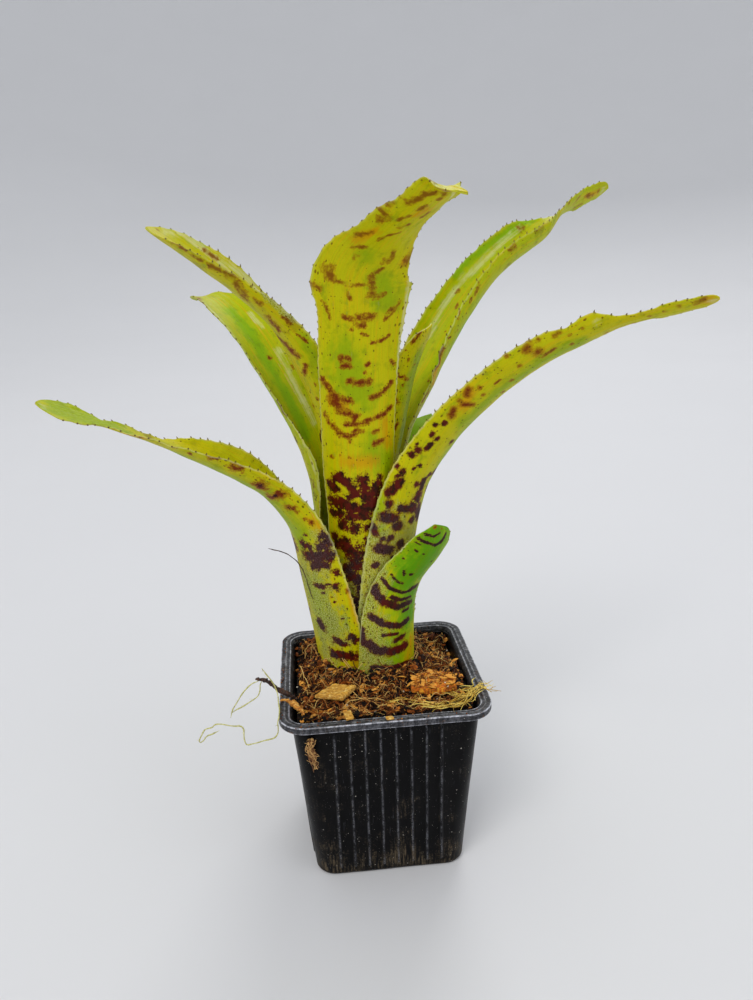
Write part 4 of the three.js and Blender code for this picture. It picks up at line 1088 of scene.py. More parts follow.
def add_spines(body, form, leaf, places, margins, draw):
    """Small curved thorns on a leaf's margins, which lean towards its tip."""
    shares = np.array([-0.25, 0.0, 0.3, 0.6, 0.85, 1.0])
    tones = np.clip(shares, 0, 1)
    radii = SPINE_RADIUS * (1 - tones) ** 0.8 + SPINE_POINT
    for side, at in places:
        row = int(np.searchsorted(form.along, at))
        angle = side * form.fold[row]
        outward = side * (form.wide[row] * math.cos(angle) + form.deep[row] * math.sin(angle))
        small = min(1, (form.length - at) / 40 + 0.35)
        length = SPINE_LENGTH * leaf.get("teeth", 1) * draw.uniform(0.6, 1.15) * small
        root = margins[row, 0 if side < 0 else 1]
        path = [root + outward * length * t
                + form.heading[row] * length * SPINE_LEAN * max(t, 0) ** 2
                for t in shares]
        body.add_tube(path, radii, SPINE_SIDES, np.repeat(tones, SPINE_SIDES))


def leaf_surface(form, leaf, number, spines):
    """The two faces of a leaf, and how far across each point lies."""
    share = leaf_columns()[None, :]
    low, high = (margin_reach(form, leaf, spines, side)[:, None] / form.half[:, None]
                 for side in (-1, 1))
    across = share + np.abs(share) ** 4 * np.where(share < 0, -low, high)
    along = form.along[:, None]
    thinned = np.clip(form.along / form.length / LEAF_THINNING_LENGTH, 0, 1)[:, None]
    middle = LEAF_THICKNESS_BASE + (LEAF_THICKNESS_BLADE - LEAF_THICKNESS_BASE) * thinned
    rim = np.clip((np.abs(share) - 0.94) / 0.06, 0, 1)
    half = middle / 2 * (1 - 0.5 * share ** 2) * np.sqrt(1 - 0.96 * rim ** 2)
    width = share * form.half[:, None]
    ridges = sum(height * waves(width, number + seed, length)
                 for height, seed, length in LEAF_RIDGES)
    ridges = ridges * (1 - rim)
    calm = smoothstep(along, *CALM_FOOT) * smoothstep(form.length - along, 0, CALM_TIP)
    sway = LEAF_SWAY * waves(along + 3 * share, number + 40, 34) * calm
    flutter = leaf.get("wander", LEAF_WANDER) * calm * (
        smoothstep(np.abs(share), 0.6, 1) * waves(along + 9 * np.sign(share), number + 80, 11))
    lift = sway + flutter
    outer = form.sheet(across, lift - half + ridges)
    inner = form.sheet(across, lift + half + ridges)
    return outer, inner, width


def leaf_fields(form, leaf, number, width):
    """The values that the leaf's material reads, for each point of both faces."""
    along = form.along[:, None] + 0 * width
    share = np.abs(leaf_columns())[None, :] + 0 * width
    flat = 0 * width

    def around(front, back):
        """One value for each point: the outer face's, then the inner face's back again."""
        return np.concatenate([front, back[:, ::-1]], axis=1).ravel()

    def strokes(key):
        return stroke_field(leaf.get(key, []), along, width)

    fields = {key: around(strokes(key), strokes("inner_" + key)) for key in RAGGED_MARKS}
    for key in SOFT_MARKS:
        fields[key] = np.maximum(around(strokes(key), strokes("inner_" + key)), 0)
    edge = smoothstep(share, 0.955, 0.985) * (along > 20)
    dots = leaf["dots"] + 0.5 * smoothstep(share, 0.6, 0.95)
    outer_wild, inner_wild = leaf["wild"]
    place = [around(along, along), around(width, width),
             around(flat + FACE_APART * number, flat + FACE_APART * number + 31)]
    fields.update({
        "leaf_place": np.stack(place, axis=1),
        "scurf": around(np.maximum(strokes("scurf"), 0), 0.4 * (1 - smoothstep(along, 35, 75))),
        "wild": around(flat + outer_wild, flat + inner_wild),
        "dots": around(dots, dots * 0.6),
        "edge": around(edge, edge),
        "ragged": around(flat + leaf.get("ragged", 1), flat + 1),
    })
    return fields


def make_leaf(name, leaf, number):
    form = LeafForm(leaf)
    spines = spine_places(form, SEED + number)
    outer, inner, width = leaf_surface(form, leaf, number, spines)
    rings = np.concatenate([outer, inner[:, ::-1]], axis=1)
    rows, count = rings.shape[:2]
    body = Parts()
    body.add(rings.reshape(-1, 3), leaf_faces(rows, count // 2), 0.0)
    blade_faces = len(body.faces)
    margins = (outer[:, [0, -1]] + inner[:, [0, -1]]) / 2
    add_spines(body, form, leaf, spines, margins, random.Random(SEED + number))
    values = {}
    for key, value in leaf_fields(form, leaf, number, width).items():
        on_spines = np.zeros((body.count - len(value), *value.shape[1:]))
        values[key] = np.concatenate([value, on_spines])
    item = body.make(f"{name}_blade", MATERIALS[leaf["material"]], values=values)
    item.data.materials.append(MATERIALS["spine"])
    of_spines = [0] * blade_faces + [1] * (len(body.faces) - blade_faces)
    item.data.polygons.foreach_set("material_index", of_spines)
    place_piece(item, name)


# ---------------------------------------------------------------- the pot
POT_HEIGHT = 65
RIM_HALF_WIDTH = 35
RIM_LIP_DEPTH = 2.4
FOOT_HALF_WIDTH = 26.1
FOOT_ROUNDING = ((0.7, 0), (-0.1, 1))           # insets and heights of the foot's edge
WALL_TAPER = 0.08
WALL_THICKNESS = 1.0
FLOOR_THICKNESS = 1.2
FLOOR_INSET = 4                   # the flat floor starts this far inside the foot's edge
FOOT_STRAIGHT = 19                # half of a side's straight run, at the foot
STRAIGHT_GAIN = 0.11              # how that half grows with the height
CORNER_POINTS = 14
PROFILE_ROUNDING = 0.45
RIBS_PER_SIDE = 8
RIB_PITCH = 5.03
RIB_WIDTH = 1.2
RIB_PROUD = 0.6
RIB_BOTTOM = 3
RIB_TOP = 60
RIB_COLUMNS = (-0.7, -0.5, -0.34, -0.14, 0.14, 0.34, 0.5, 0.7)      # in rib widths
# how light the ribs' crests are painted: a painted highlight, with some real scuffing
RIB_HIGHLIGHT_AND_WEAR = 0.17
DRAIN_OFFSET = 17
DRAIN_CORNER = 7
DRAIN_SIDE = 6
DRAIN_POINTS = 28
CLEARANCE = 0.35
POT_WARP = (16, 0.12)             # the size and depth of the plastic's unevenness
WALL_LEVELS = (14, 24, 34, 44)

# The rim's section, from the underside of its lip to its inner edge: insets from the outer
# face, and drops from the top.
RIM_SECTION = [
    (WALL_THICKNESS, WALL_THICKNESS), (WALL_THICKNESS, RIM_LIP_DEPTH), (0, RIM_LIP_DEPTH),
    (0, RIM_LIP_DEPTH - 0.8), (0, 0.8), (0, 0), (0.7, 0), (1.3, 0), (1.9, 0), (2.7, 0.55),
    (3.4, 0.1),
]
RIM_WIDTH = 4.4
# Where painted highlight lines run along the rim's edges, with some real rubbing: an inset and a
# drop, as above, and how strongly.
RIM_HIGHLIGHT_EDGES = ((0, 0, 1.0), (0, RIM_LIP_DEPTH, 0.95), (1.9, 0, 0.4), (3.4, 0.1, 0.75))
# a faint painted sheen over all the rim, with some real wear
RIM_SHEEN_AND_WEAR = 0.11


def wall_half_width(height):
    return FOOT_HALF_WIDTH + WALL_TAPER * height


def inner_half_width(height):
    return wall_half_width(height) - WALL_THICKNESS


def side_offsets(straight, ribbed):
    """Places along a side's straight run, from one corner to the next."""
    if not ribbed:
        return np.linspace(-straight, straight, 12)[1:-1]
    return np.array([(i - (RIBS_PER_SIDE - 1) / 2) * RIB_PITCH + RIB_WIDTH * t
                     for i in range(RIBS_PER_SIDE) for t in RIB_COLUMNS])


def rib_profile(offset):
    """How proud the wall stands at places along a side, from 0 to 1."""
    nearest = np.abs((offset / RIB_PITCH + (RIBS_PER_SIDE - 1) / 2 + 0.5) % 1 - 0.5) * RIB_PITCH
    inside = np.abs(offset) < RIBS_PER_SIDE * RIB_PITCH / 2
    return inside * (1 - smoothstep(nearest, 0.2 * RIB_WIDTH, 0.62 * RIB_WIDTH))


def rim_wear_and_highlight(half_width, height):
    """How light the rim is painted there, from 0 to 1: highlight lines along its edges, with some
    real rubbing, over a faint painted sheen.
    """
    if height < POT_HEIGHT - RIM_LIP_DEPTH or half_width < RIM_HALF_WIDTH - RIM_WIDTH:
        return 0.0
    wear_and_highlight = RIM_SHEEN_AND_WEAR
    for inset, drop, strength in RIM_HIGHLIGHT_EDGES:
        away = math.hypot(half_width - RIM_HALF_WIDTH + inset, height - POT_HEIGHT + drop)
        wear_and_highlight = max(wear_and_highlight, strength * (1 - float(smoothstep(away, 0.1, 0.5))))
    return wear_and_highlight


def square_ring(half_width, height, ribbed=True, proud=0.0):
    """A square with round corners at one height, and how rib-like each of its points is."""
    straight = FOOT_STRAIGHT + STRAIGHT_GAIN * height
    radius = half_width - straight
    offsets = side_offsets(straight, ribbed)
    profile = rib_profile(offsets)
    corner = [(straight + radius * math.cos(a), straight + radius * math.sin(a))
              for a in np.linspace(0, math.pi / 2, CORNER_POINTS)]
    side = [(half_width + proud * p, y) for y, p in zip(offsets, profile)] + corner
    turns = [(math.cos(turn), math.sin(turn)) for turn in np.arange(4) * math.pi / 2]
    points = [(x * c - y * s, x * s + y * c, height) for c, s in turns for x, y in side]
    crest = np.concatenate([profile * (proud > 0), np.zeros(CORNER_POINTS)])
    return np.array(points), np.tile(crest, 4)


def round_corners(profile, radius, steps=3):
    """A profile whose inner corners are cut back by the radius and rounded."""
    rows = [np.array(p, float) for p in profile]
    result = [rows[0]]
    for before, corner, after in zip(rows, rows[1:], rows[2:]):
        first = corner + (before - corner) * min(radius / np.linalg.norm(before - corner), 0.45)
        last = corner + (after - corner) * min(radius / np.linalg.norm(after - corner), 0.45)
        for t in np.linspace(0, 1, steps + 1):
            result.append((1 - t) ** 2 * first + 2 * t * (1 - t) * corner + t ** 2 * last)
    result.append(rows[-1])
    return result


def pot_profile():
    """Half widths and heights round the wall: up the outside, over the rim and down the inside."""
    under_rim = POT_HEIGHT - WALL_THICKNESS
    levels = [RIB_BOTTOM - 0.6, RIB_BOTTOM, RIB_BOTTOM + 0.8, RIB_BOTTOM + 2, *WALL_LEVELS,
              RIB_TOP - 3, RIB_TOP - 1, RIB_TOP, RIB_TOP + 0.7, under_rim]
    foot = [(FOOT_HALF_WIDTH - inset, height)
            for inset, height in ((FLOOR_INSET, 0), *FOOT_ROUNDING)]
    outside = [(wall_half_width(height), height) for height in levels]
    rim = [(RIM_HALF_WIDTH - inset, POT_HEIGHT - drop) for inset, drop in RIM_SECTION]
    inside = [(inner_half_width(height), height)
              for height in (POT_HEIGHT - 2.5, 20, FLOOR_THICKNESS)]
    floor = [(inner_half_width(FLOOR_THICKNESS) + WALL_THICKNESS - FLOOR_INSET, FLOOR_THICKNESS)]
    return round_corners(foot + outside + rim + inside + floor, PROFILE_ROUNDING)


def cut_holes(pot):
    """Cuts the drain holes through the pot's floor, all but the middle one of three rows."""
    cutters = []
    for x, y in ((x, y) for x in (-1, 0, 1) for y in (-1, 0, 1) if x or y):
        diameter = DRAIN_CORNER if x and y else DRAIN_SIDE
        path = [(x * DRAIN_OFFSET, y * DRAIN_OFFSET, z) for z in (-2, 0, 4)]
        points, faces = tube(path, diameter / 2, DRAIN_POINTS)
        cutters.append(add_object("cutter", points, faces, MATERIALS["pot"]))
        cut = pot.modifiers.new("hole", "BOOLEAN")
        cut.operation = "DIFFERENCE"
        cut.solver = "EXACT"
        cut.object = cutters[-1]
    bpy.context.view_layer.update()
    mesh = bpy.data.meshes.new_from_object(pot.evaluated_get(bpy.context.evaluated_depsgraph_get()))
    pot.modifiers.clear()
    pot.data = mesh
    for cutter in cutters:
        bpy.data.objects.remove(cutter)


def make_pot():
    rings, wear_and_highlight = [], []
    for half_width, height in pot_profile():
        outside = (half_width > inner_half_width(height) + 0.5
                   and RIB_BOTTOM <= height <= RIB_TOP + 0.1)
        ends = min(height - RIB_BOTTOM, RIB_TOP - height)
        proud = RIB_PROUD * float(smoothstep(ends, -0.2, 1.5)) if outside else 0.0
        points, crest = square_ring(half_width, height, True, proud)
        rings.append(points)
        # painted highlights on the ribs' crests and the rim's edges, with some real rubbing
        wear_and_highlight.append(np.maximum(RIB_HIGHLIGHT_AND_WEAR * crest ** 6, rim_wear_and_highlight(half_width, height)))
    even, faces = closed_skin(rings)
    points = roughen(even, *POT_WARP, 3)
    points[:, 2] = np.maximum(points[:, 2], 0)
    points[even[:, 2] < 0.05, 2] = 0
    pot = add_object("nursery_pot_shell", points, faces, MATERIALS["pot"],
                     {"wear_and_highlight": np.concatenate(wear_and_highlight)})
    cut_holes(pot)
    place_piece(pot, "nursery_pot")


# ---------------------------------------------------------------- the potting mix
# Outline, underside and thickness of each piece of bark.
BARK_PIECES = {
    "bark_chip_pale": ([(-23.2, -16.9), (-13.8, -20.2), (-8.6, -12.7), (-16.6, -10.2)], 64.6, 1.9),
    "bark_chunk_right": (
        [(9, -17), (18, -20.5), (25, -18), (26.2, -9), (19, -6.4), (11, -9.5)], 63.6, 2.6),
    "bark_chunk_back": ([(15.4, -5), (25.4, -6.8), (27, 2.5), (22.5, 7.8), (17.6, 2.6)], 62.4, 2.4),
    "rim_chip_left": (
        [(-14.2, -28.4), (-13.4, -33), (-10.8, -32.6), (-11.6, -27.8)], POT_HEIGHT + 0.3, 0.9),
    "rim_chip_middle": (
        [(-0.9, -33.2), (-0.5, -34.7), (1.9, -34.5), (1.4, -33)], POT_HEIGHT + 0.3, 0.7),
}
SOIL_EDGE_HEIGHT = 62.6
SOIL_MOUND_HEIGHT = 3.6
SOIL_MOUND_RADIUS = 17
SOIL_MOUND_FALL = 14
SOIL_HOLLOWS = [(27, 17, 6, 9), (-29, 14, 5, 7.7)]      # x, y, depth, radius
SOIL_LUMPS = 1.3
SOIL_LUMP_SIZE = 3.2
SOIL_GRAIN = 0.6
SOIL_GRAIN_SIZE = 1.3
SOIL_RINGS = 56
SOIL_TONE = 0.2
HEART_FLOOR = 58                  # the mix's height inside the rosette
HEART_INSET = 2.2
BED_HALF_WIDTH = 31               # loose bits are scattered over this square
CRUMBS = 1900
WHITE_BITS = 0.04                 # share of the crumbs
WHITE_BIT_SIZE = 0.4
WHITE_BIT_TONE = 1.5
COLLAR_CRUMBS = 760
FLAKES = 330
FLAKE_SIDES = 8
FLAKE_LAYERS = ((0.5, -0.16), (0.95, -0.12), (1.0, 0.05), (0.6, 0.2))       # share of it, height
FIBRES = 2700
LONG_FIBRES = 80
FIBRE_STEPS = 6
FIBRE_BEND = 0.25
COLLAR_FIBRES = 80
RIM_CRUMBS = 90


def base_reach():
    """How far the leaves' bases reach out from the rosette's axis, for each whole degree."""
    reach = np.zeros(360)
    for leaf in LEAVES.values():
        form = LeafForm(leaf, 1.5)
        share = np.linspace(-1, 1, 41)[None, :]
        outer = np.full((len(form.along), 41), -LEAF_THICKNESS_BASE / 2)
        points = form.sheet(share, outer).reshape(-1, 3)
        points = points[(points[:, 2] > 59) & (points[:, 2] < 68)]
        x, y = points[:, 0] - PLANT_X, points[:, 1] - PLANT_Y
        degrees = np.degrees(np.arctan2(y, x)).astype(int) % 360
        for spread in range(-4, 5):
            np.maximum.at(reach, (degrees + spread) % 360, np.hypot(x, y))
    return reach


def from_axis(radius, degrees):
    """The place at that distance from the rosette's axis, in that direction."""
    angle = math.radians(degrees)
    return PLANT_X + radius * math.cos(angle), PLANT_Y + radius * math.sin(angle)


def soil_height(x, y):
    distance = math.hypot(x - PLANT_X, y - PLANT_Y)
    rise = float(smoothstep(SOIL_MOUND_RADIUS + SOIL_MOUND_FALL - distance, 0, SOIL_MOUND_FALL))
    lumps = SOIL_LUMPS * noise.fractal(Vector((x, y, 0)) / SOIL_LUMP_SIZE, 1.0, 2.0, 2)
    dip = sum(depth * math.exp(-((x - cx) ** 2 + (y - cy) ** 2) / radius ** 2)
              for cx, cy, depth, radius in SOIL_HOLLOWS)
    return SOIL_EDGE_HEIGHT + SOIL_MOUND_HEIGHT * rise + lumps - dip


def inside_bark(name, x, y):
    """Whether a place is inside a bark piece's outline, seen from above."""
    outline = BARK_PIECES[name][0]
    inside = False
    for (x0, y0), (x1, y1) in zip(outline, outline[1:] + outline[:1]):
        if (y0 > y) != (y1 > y) and x < x0 + (x1 - x0) * (y - y0) / (y1 - y0):
            inside = not inside
    return inside


def over_right_chunk(x, y):
    return inside_bark("bark_chunk_right", x, y)


def top_height(x, y):
    """The height of the mix, or of the crumbling bark that lies on it."""
    height = soil_height(x, y)
    for name in ("bark_chunk_right", "bark_chunk_back"):
        _, underside, thickness = BARK_PIECES[name]
        if inside_bark(name, x, y):
            height = max(height, underside + 0.95 * thickness)
    return height


def inside_plant(x, y, reach, grown=0.0):
    degree = int(math.degrees(math.atan2(y - PLANT_Y, x - PLANT_X))) % 360
    return math.hypot(x - PLANT_X, y - PLANT_Y) < reach[degree] + grown


def inside_pot(x, y, margin):
    half = inner_half_width(SOIL_EDGE_HEIGHT) - margin
    straight = FOOT_STRAIGHT + STRAIGHT_GAIN * SOIL_EDGE_HEIGHT
    dx, dy = max(abs(x) - straight, 0), max(abs(y) - straight, 0)
    return max(abs(x), abs(y)) < half and math.hypot(dx, dy) < half - straight


def make_soil(reach):
    """The bed of the mix: a plug in the pot, under rings of its uneven top."""
    levels = (FLOOR_THICKNESS + 0.3, 30, SOIL_EDGE_HEIGHT - 8, SOIL_EDGE_HEIGHT - 7)
    *rings, edge = (square_ring(inner_half_width(height) - CLEARANCE, height, False)[0]
                    for height in levels)
    tones = [np.full(len(edge), SOIL_TONE)] * len(rings)
    for ring in range(SOIL_RINGS):
        share = 1 - 0.98 * ring / (SOIL_RINGS - 1)
        row, tone = [], []
        for px, py, _ in edge:
            x = PLANT_X + (px - PLANT_X) * share
            y = PLANT_Y + (py - PLANT_Y) * share
            spot = Vector((x, y, 0))
            z = soil_height(x, y) + SOIL_GRAIN * noise.fractal(spot / SOIL_GRAIN_SIZE, 1.0, 2.0, 3)
            if inside_plant(x, y, reach, -HEART_INSET):
                z = HEART_FLOOR + 0.4 * noise.noise(spot)
            row.append((x, y, z))
            tone.append(SOIL_TONE + 0.3 * noise.noise(spot / 2.5))
        rings.append(np.array(row))
        tones.append(np.array(tone))
    soil = add_object("potting_mix_bed", *closed_skin(rings), MATERIALS["soil"],
                      {"tone": np.concatenate(tones)})
    place_piece(soil, "potting_mix")


def unit_ball():
    """Points and faces of a ball with 42 points, radius 1."""
    ball = bmesh.new()
    bmesh.ops.create_icosphere(ball, subdivisions=1, radius=1)
    bmesh.ops.subdivide_edges(ball, edges=ball.edges, cuts=1, use_grid_fill=True)
    points = np.array([v.co.normalized() for v in ball.verts])
    faces = [tuple(v.index for v in face.verts) for face in ball.faces]
    ball.free()
    return points, faces


BALL, BALL_FACES = unit_ball()


def turned(points, draw, tilt):
    """Points turned at random about the vertical and tipped by up to tilt degrees."""
    tips = [math.radians(draw.uniform(-tilt, tilt)) for _ in range(2)]
    turn = Euler((*tips, random_turn(draw)))
    return points @ np.array(turn.to_matrix()).T


def bit_place(draw, reach, margin):
    """A place on the open mix, where no leaf stands."""
    while True:
        x, y = (draw.uniform(-BED_HALF_WIDTH, BED_HALF_WIDTH) for _ in range(2))
        if inside_pot(x, y, margin) and not inside_plant(x, y, reach, 0.4):
            return x, y


def crumb(draw, size):
    """The points of a lumpy crumb round the origin. Its faces are BALL_FACES."""
    shape = BALL * [size * draw.uniform(0.6, 1.3), size * draw.uniform(0.5, 1.0),
                    size * draw.uniform(0.45, 0.85)]
    return roughen(turned(shape, draw, 40), 0.8 * size, 0.55 * size, draw.uniform(0, 50))


def flake(draw):
    """A thin torn scrap of bark, as points and faces."""
    length, width = draw.uniform(1.2, 3.4), draw.uniform(0.6, 1.4)
    outline = []
    for angle in np.arange(FLAKE_SIDES) * 2 * math.pi / FLAKE_SIDES:
        reach = draw.uniform(0.7, 1.1)
        outline.append((length * reach * math.cos(angle), width * reach * math.sin(angle)))
    outline = np.array(outline)
    bend = draw.uniform(-0.12, 0.12)
    return closed_skin([
        np.column_stack([outline * share, bend * (outline[:, 0] * share) ** 2 + lift])
        for share, lift in FLAKE_LAYERS])


def fibre_path(draw, length, x, y):
    """A level path from a place, which wanders at each step."""
    heading = random_turn(draw)
    path = [np.array([x, y, 0])]
    for _ in range(FIBRE_STEPS):
        heading += draw.uniform(-FIBRE_BEND, FIBRE_BEND)
        step = np.array([math.cos(heading), math.sin(heading), 0])
        path.append(path[-1] + length / FIBRE_STEPS * step)
    return np.array(path)


def over_soil(path, lift, arch):
    """Lays a path on the mix, arched in its middle."""
    for point, share in zip(path, np.linspace(0, 1, len(path))):
        point[2] = top_height(point[0], point[1]) + lift + arch * math.sin(math.pi * share)
    return path


def make_crumbs(draw, reach):
    """Crumbs in clusters with dark gaps between them, where the near-black bed shows as dark peat
    and painted shade, banked on the leaves' feet and on the rim.
    """
    crumbs = Parts()
    while crumbs.count < CRUMBS * len(BALL):
        x, y = bit_place(draw, reach, 0.8)
        size = 0.26 + 0.95 * draw.random() ** 3.4
        tone = draw.random() ** 2.5
        if over_right_chunk(x, y):
            if draw.random() < 0.7:
                continue
            tone = draw.uniform(0.5, 1.0)
        elif noise.noise(Vector((x, y, 3)) / 2.4) < draw.uniform(-0.75, 0.2):
            continue
        if draw.random() < WHITE_BITS:
            size, tone = WHITE_BIT_SIZE, WHITE_BIT_TONE
        body = crumb(draw, size)
        body += [x, y, top_height(x, y) + 0.3 * size + draw.uniform(0.0, 0.7)]
        crumbs.add(body, BALL_FACES, tone)
    for _ in range(COLLAR_CRUMBS):
        out = draw.uniform(0.2, 2.8)
        degree = draw.randrange(360)
        x, y = from_axis(reach[degree] + out, degree + 0.5)
        if inside_pot(x, y, 1):
            size = draw.uniform(0.3, 0.9)
            rise = draw.random() ** 1.7 * (3.4 - 1.1 * out)
            body = crumb(draw, size) + [x, y, soil_height(x, y) + rise]
            crumbs.add(body, BALL_FACES, draw.random() ** 2.4)
    for _ in range(RIM_CRUMBS):
        along = draw.uniform(-BED_HALF_WIDTH, BED_HALF_WIDTH)
        across = draw.uniform(0.4, 1.6) - RIM_HALF_WIDTH
        x, y = (along, across) if draw.random() < 0.5 else (across, along)
        size = draw.uniform(0.1, 0.32)
        body = crumb(draw, size) + [x, y, POT_HEIGHT + 0.3 * size]
        crumbs.add(body, BALL_FACES, 0.7 * draw.random())
    return crumbs.make("mix_crumbs", MATERIALS["crumbs"], smooth=False)


def make_flakes(draw, reach):
    flakes = Parts()
    for _ in range(FLAKES):
        x, y = bit_place(draw, reach, 2.5)
        points, faces = flake(draw)
        body = turned(points, draw, 30) + [x, y, top_height(x, y) + draw.uniform(0.3, 1.1)]
        flakes.add(body, faces, 0.88 if over_right_chunk(x, y) else draw.random() ** 1.2)
    return flakes.make("mix_bark_flakes", MATERIALS["flakes"], smooth=False)


def fibre_on_open_mix(path, reach, number):
    """Whether a fibre is clear of wall and leaves. Only every third may lie on the chunk."""
    on_chunk = sum(over_right_chunk(x, y) for x, y, _ in path)
    clear = all(inside_pot(x, y, 0.9) and not inside_plant(x, y, reach, 0.2) for x, y, _ in path)
    return clear and (on_chunk == 0 or (on_chunk == len(path) and number % 3 == 0))


# A fibre's length, radius and lift over the mix, from and to.
SHORT_FIBRE = ((1.4, 6.5), (0.05, 0.15), (0.1, 1.1))
LONG_FIBRE = ((8, 19), (0.09, 0.17), (0.9, 1.5))


def make_fibres(draw, reach):
    """Short fibres all over the mix, a few long ones, and some that lie round the leaves' feet."""
    fibres = Parts()
    for number in range(FIBRES + LONG_FIBRES):
        x, y = bit_place(draw, reach, 2.0)
        short = number < FIBRES
        spans = SHORT_FIBRE if short else LONG_FIBRE
        length, radius, lift = (draw.uniform(*span) for span in spans)
        tone = draw.random() ** 1.6 if short else draw.uniform(0.6, 1.0)
        path = over_soil(fibre_path(draw, length, x, y), lift, draw.uniform(0, 1.3))
        path[:, 2] += np.linspace(0, 1, len(path)) * 1.8 * draw.random() ** 3
        if fibre_on_open_mix(path, reach, number):
            fibres.add_tube(smooth_path(path, 0.7), radius, 4, tone, draw.uniform(0.5, 1))
    for _ in range(COLLAR_FIBRES):
        degree = draw.randrange(360)
        span, rise = draw.uniform(8, 30) * draw.choice((-1, 1)), draw.uniform(0.4, 5.5)
        path = []
        for share in np.linspace(0, 1, 6):
            radius = reach[int(degree + span * share) % 360] + 0.3 + 0.25 * draw.random()
            x, y = from_axis(radius, degree + span * share)
            path.append((x, y, soil_height(x, y) + 0.2 + rise * share))
        line = smooth_path(path, 0.6)
        fibres.add_tube(line, draw.uniform(0.06, 0.15), 4, draw.betavariate(2.4, 1.2))
    return fibres.make("mix_fibres", MATERIALS["fibres"])


def make_bits(reach):
    draw = random.Random(SEED)
    for make in (make_crumbs, make_flakes, make_fibres):
        place_piece(make(draw, reach))


# ---------------------------------------------------------------- bark on the mix and the rim
# A bark piece's layers from its underside to its middle: share of its outline, share of its height.
BARK_LAYERS = [(0.05, 0.0), (0.35, 0.0), (0.65, 0.02), (0.9, 0.04), (0.985, 0.14), (1.0, 0.4),
               (0.985, 0.7), (0.965, 0.92)]
BARK_LAYERS += [(share, 1.0) for share in np.linspace(0.93, 0.05, 16)]
BARK_EDGE_STEP = 0.45
CHUNK_TORN = 1.1                  # the depth of the brown pieces' torn edges
CHIP_TORN = 0.14                  # and of the pale ones, for their thickness
CHUNK_ROUGH = 0.34                # the depth of the ridges, for a piece's thickness
CHIP_ROUGH = 0.13
CHUNK_DOME = 0.3


def torn_outline(outline, depth, seed):
    """An outline resampled at even steps, with torn edges, and its centre."""
    closed = np.array([*outline, outline[0]], float)
    lengths = lengths_along(closed)
    count = max(int(lengths[-1] / BARK_EDGE_STEP), 16)
    points = values_at(np.arange(count) * lengths[-1] / count, lengths, closed)
    centre = points.mean(axis=0)
    torn = []
    for point in points:
        away = (point - centre) / np.linalg.norm(point - centre)
        spot = Vector((point[0] * 0.9, point[1] * 0.9, seed))
        torn.append(point + away * depth * (noise.fractal(spot, 1, 2, 3) - 0.25))
    return np.array(torn), centre


def make_bark(name, outline, underside, thickness):
    """A torn slab. The brown pieces crumble, the pale ones keep a flat, split face."""
    crumbling = name.startswith("bark_chunk")
    torn, rough = ((CHUNK_TORN, CHUNK_ROUGH) if crumbling
                   else (CHIP_TORN * thickness, CHIP_ROUGH))
    edge, centre = torn_outline(outline, torn, len(name))
    rings = []
    for share, level in BARK_LAYERS:
        flat = centre + (edge - centre) * share
        heights = []
        for x, y in flat:
            ridge = noise.fractal(Vector((0.5 * (x + y), 1.9 * (y - x), level)) / 1.8, 1, 2, 4)
            dome = CHUNK_DOME * thickness * (1 - share ** 2) * level * crumbling
            relief = rough * thickness * ridge * level
            heights.append(underside + thickness * level * 0.9 + dome + relief)
        rings.append(np.column_stack([flat, heights]))
    slot = "bark_brown" if crumbling else "bark_pale"
    place_piece(add_object(f"{name}_torn", *closed_skin(rings), MATERIALS[slot]), name)


# ---------------------------------------------------------------- strands, twigs and fibres
MOSS_RADIUS = 0.45
MOSS_STEMS = 7
MOSS_SAG = 1.6
STRAND_RADIUS = 0.28
CLUMP_FIBRES = 60

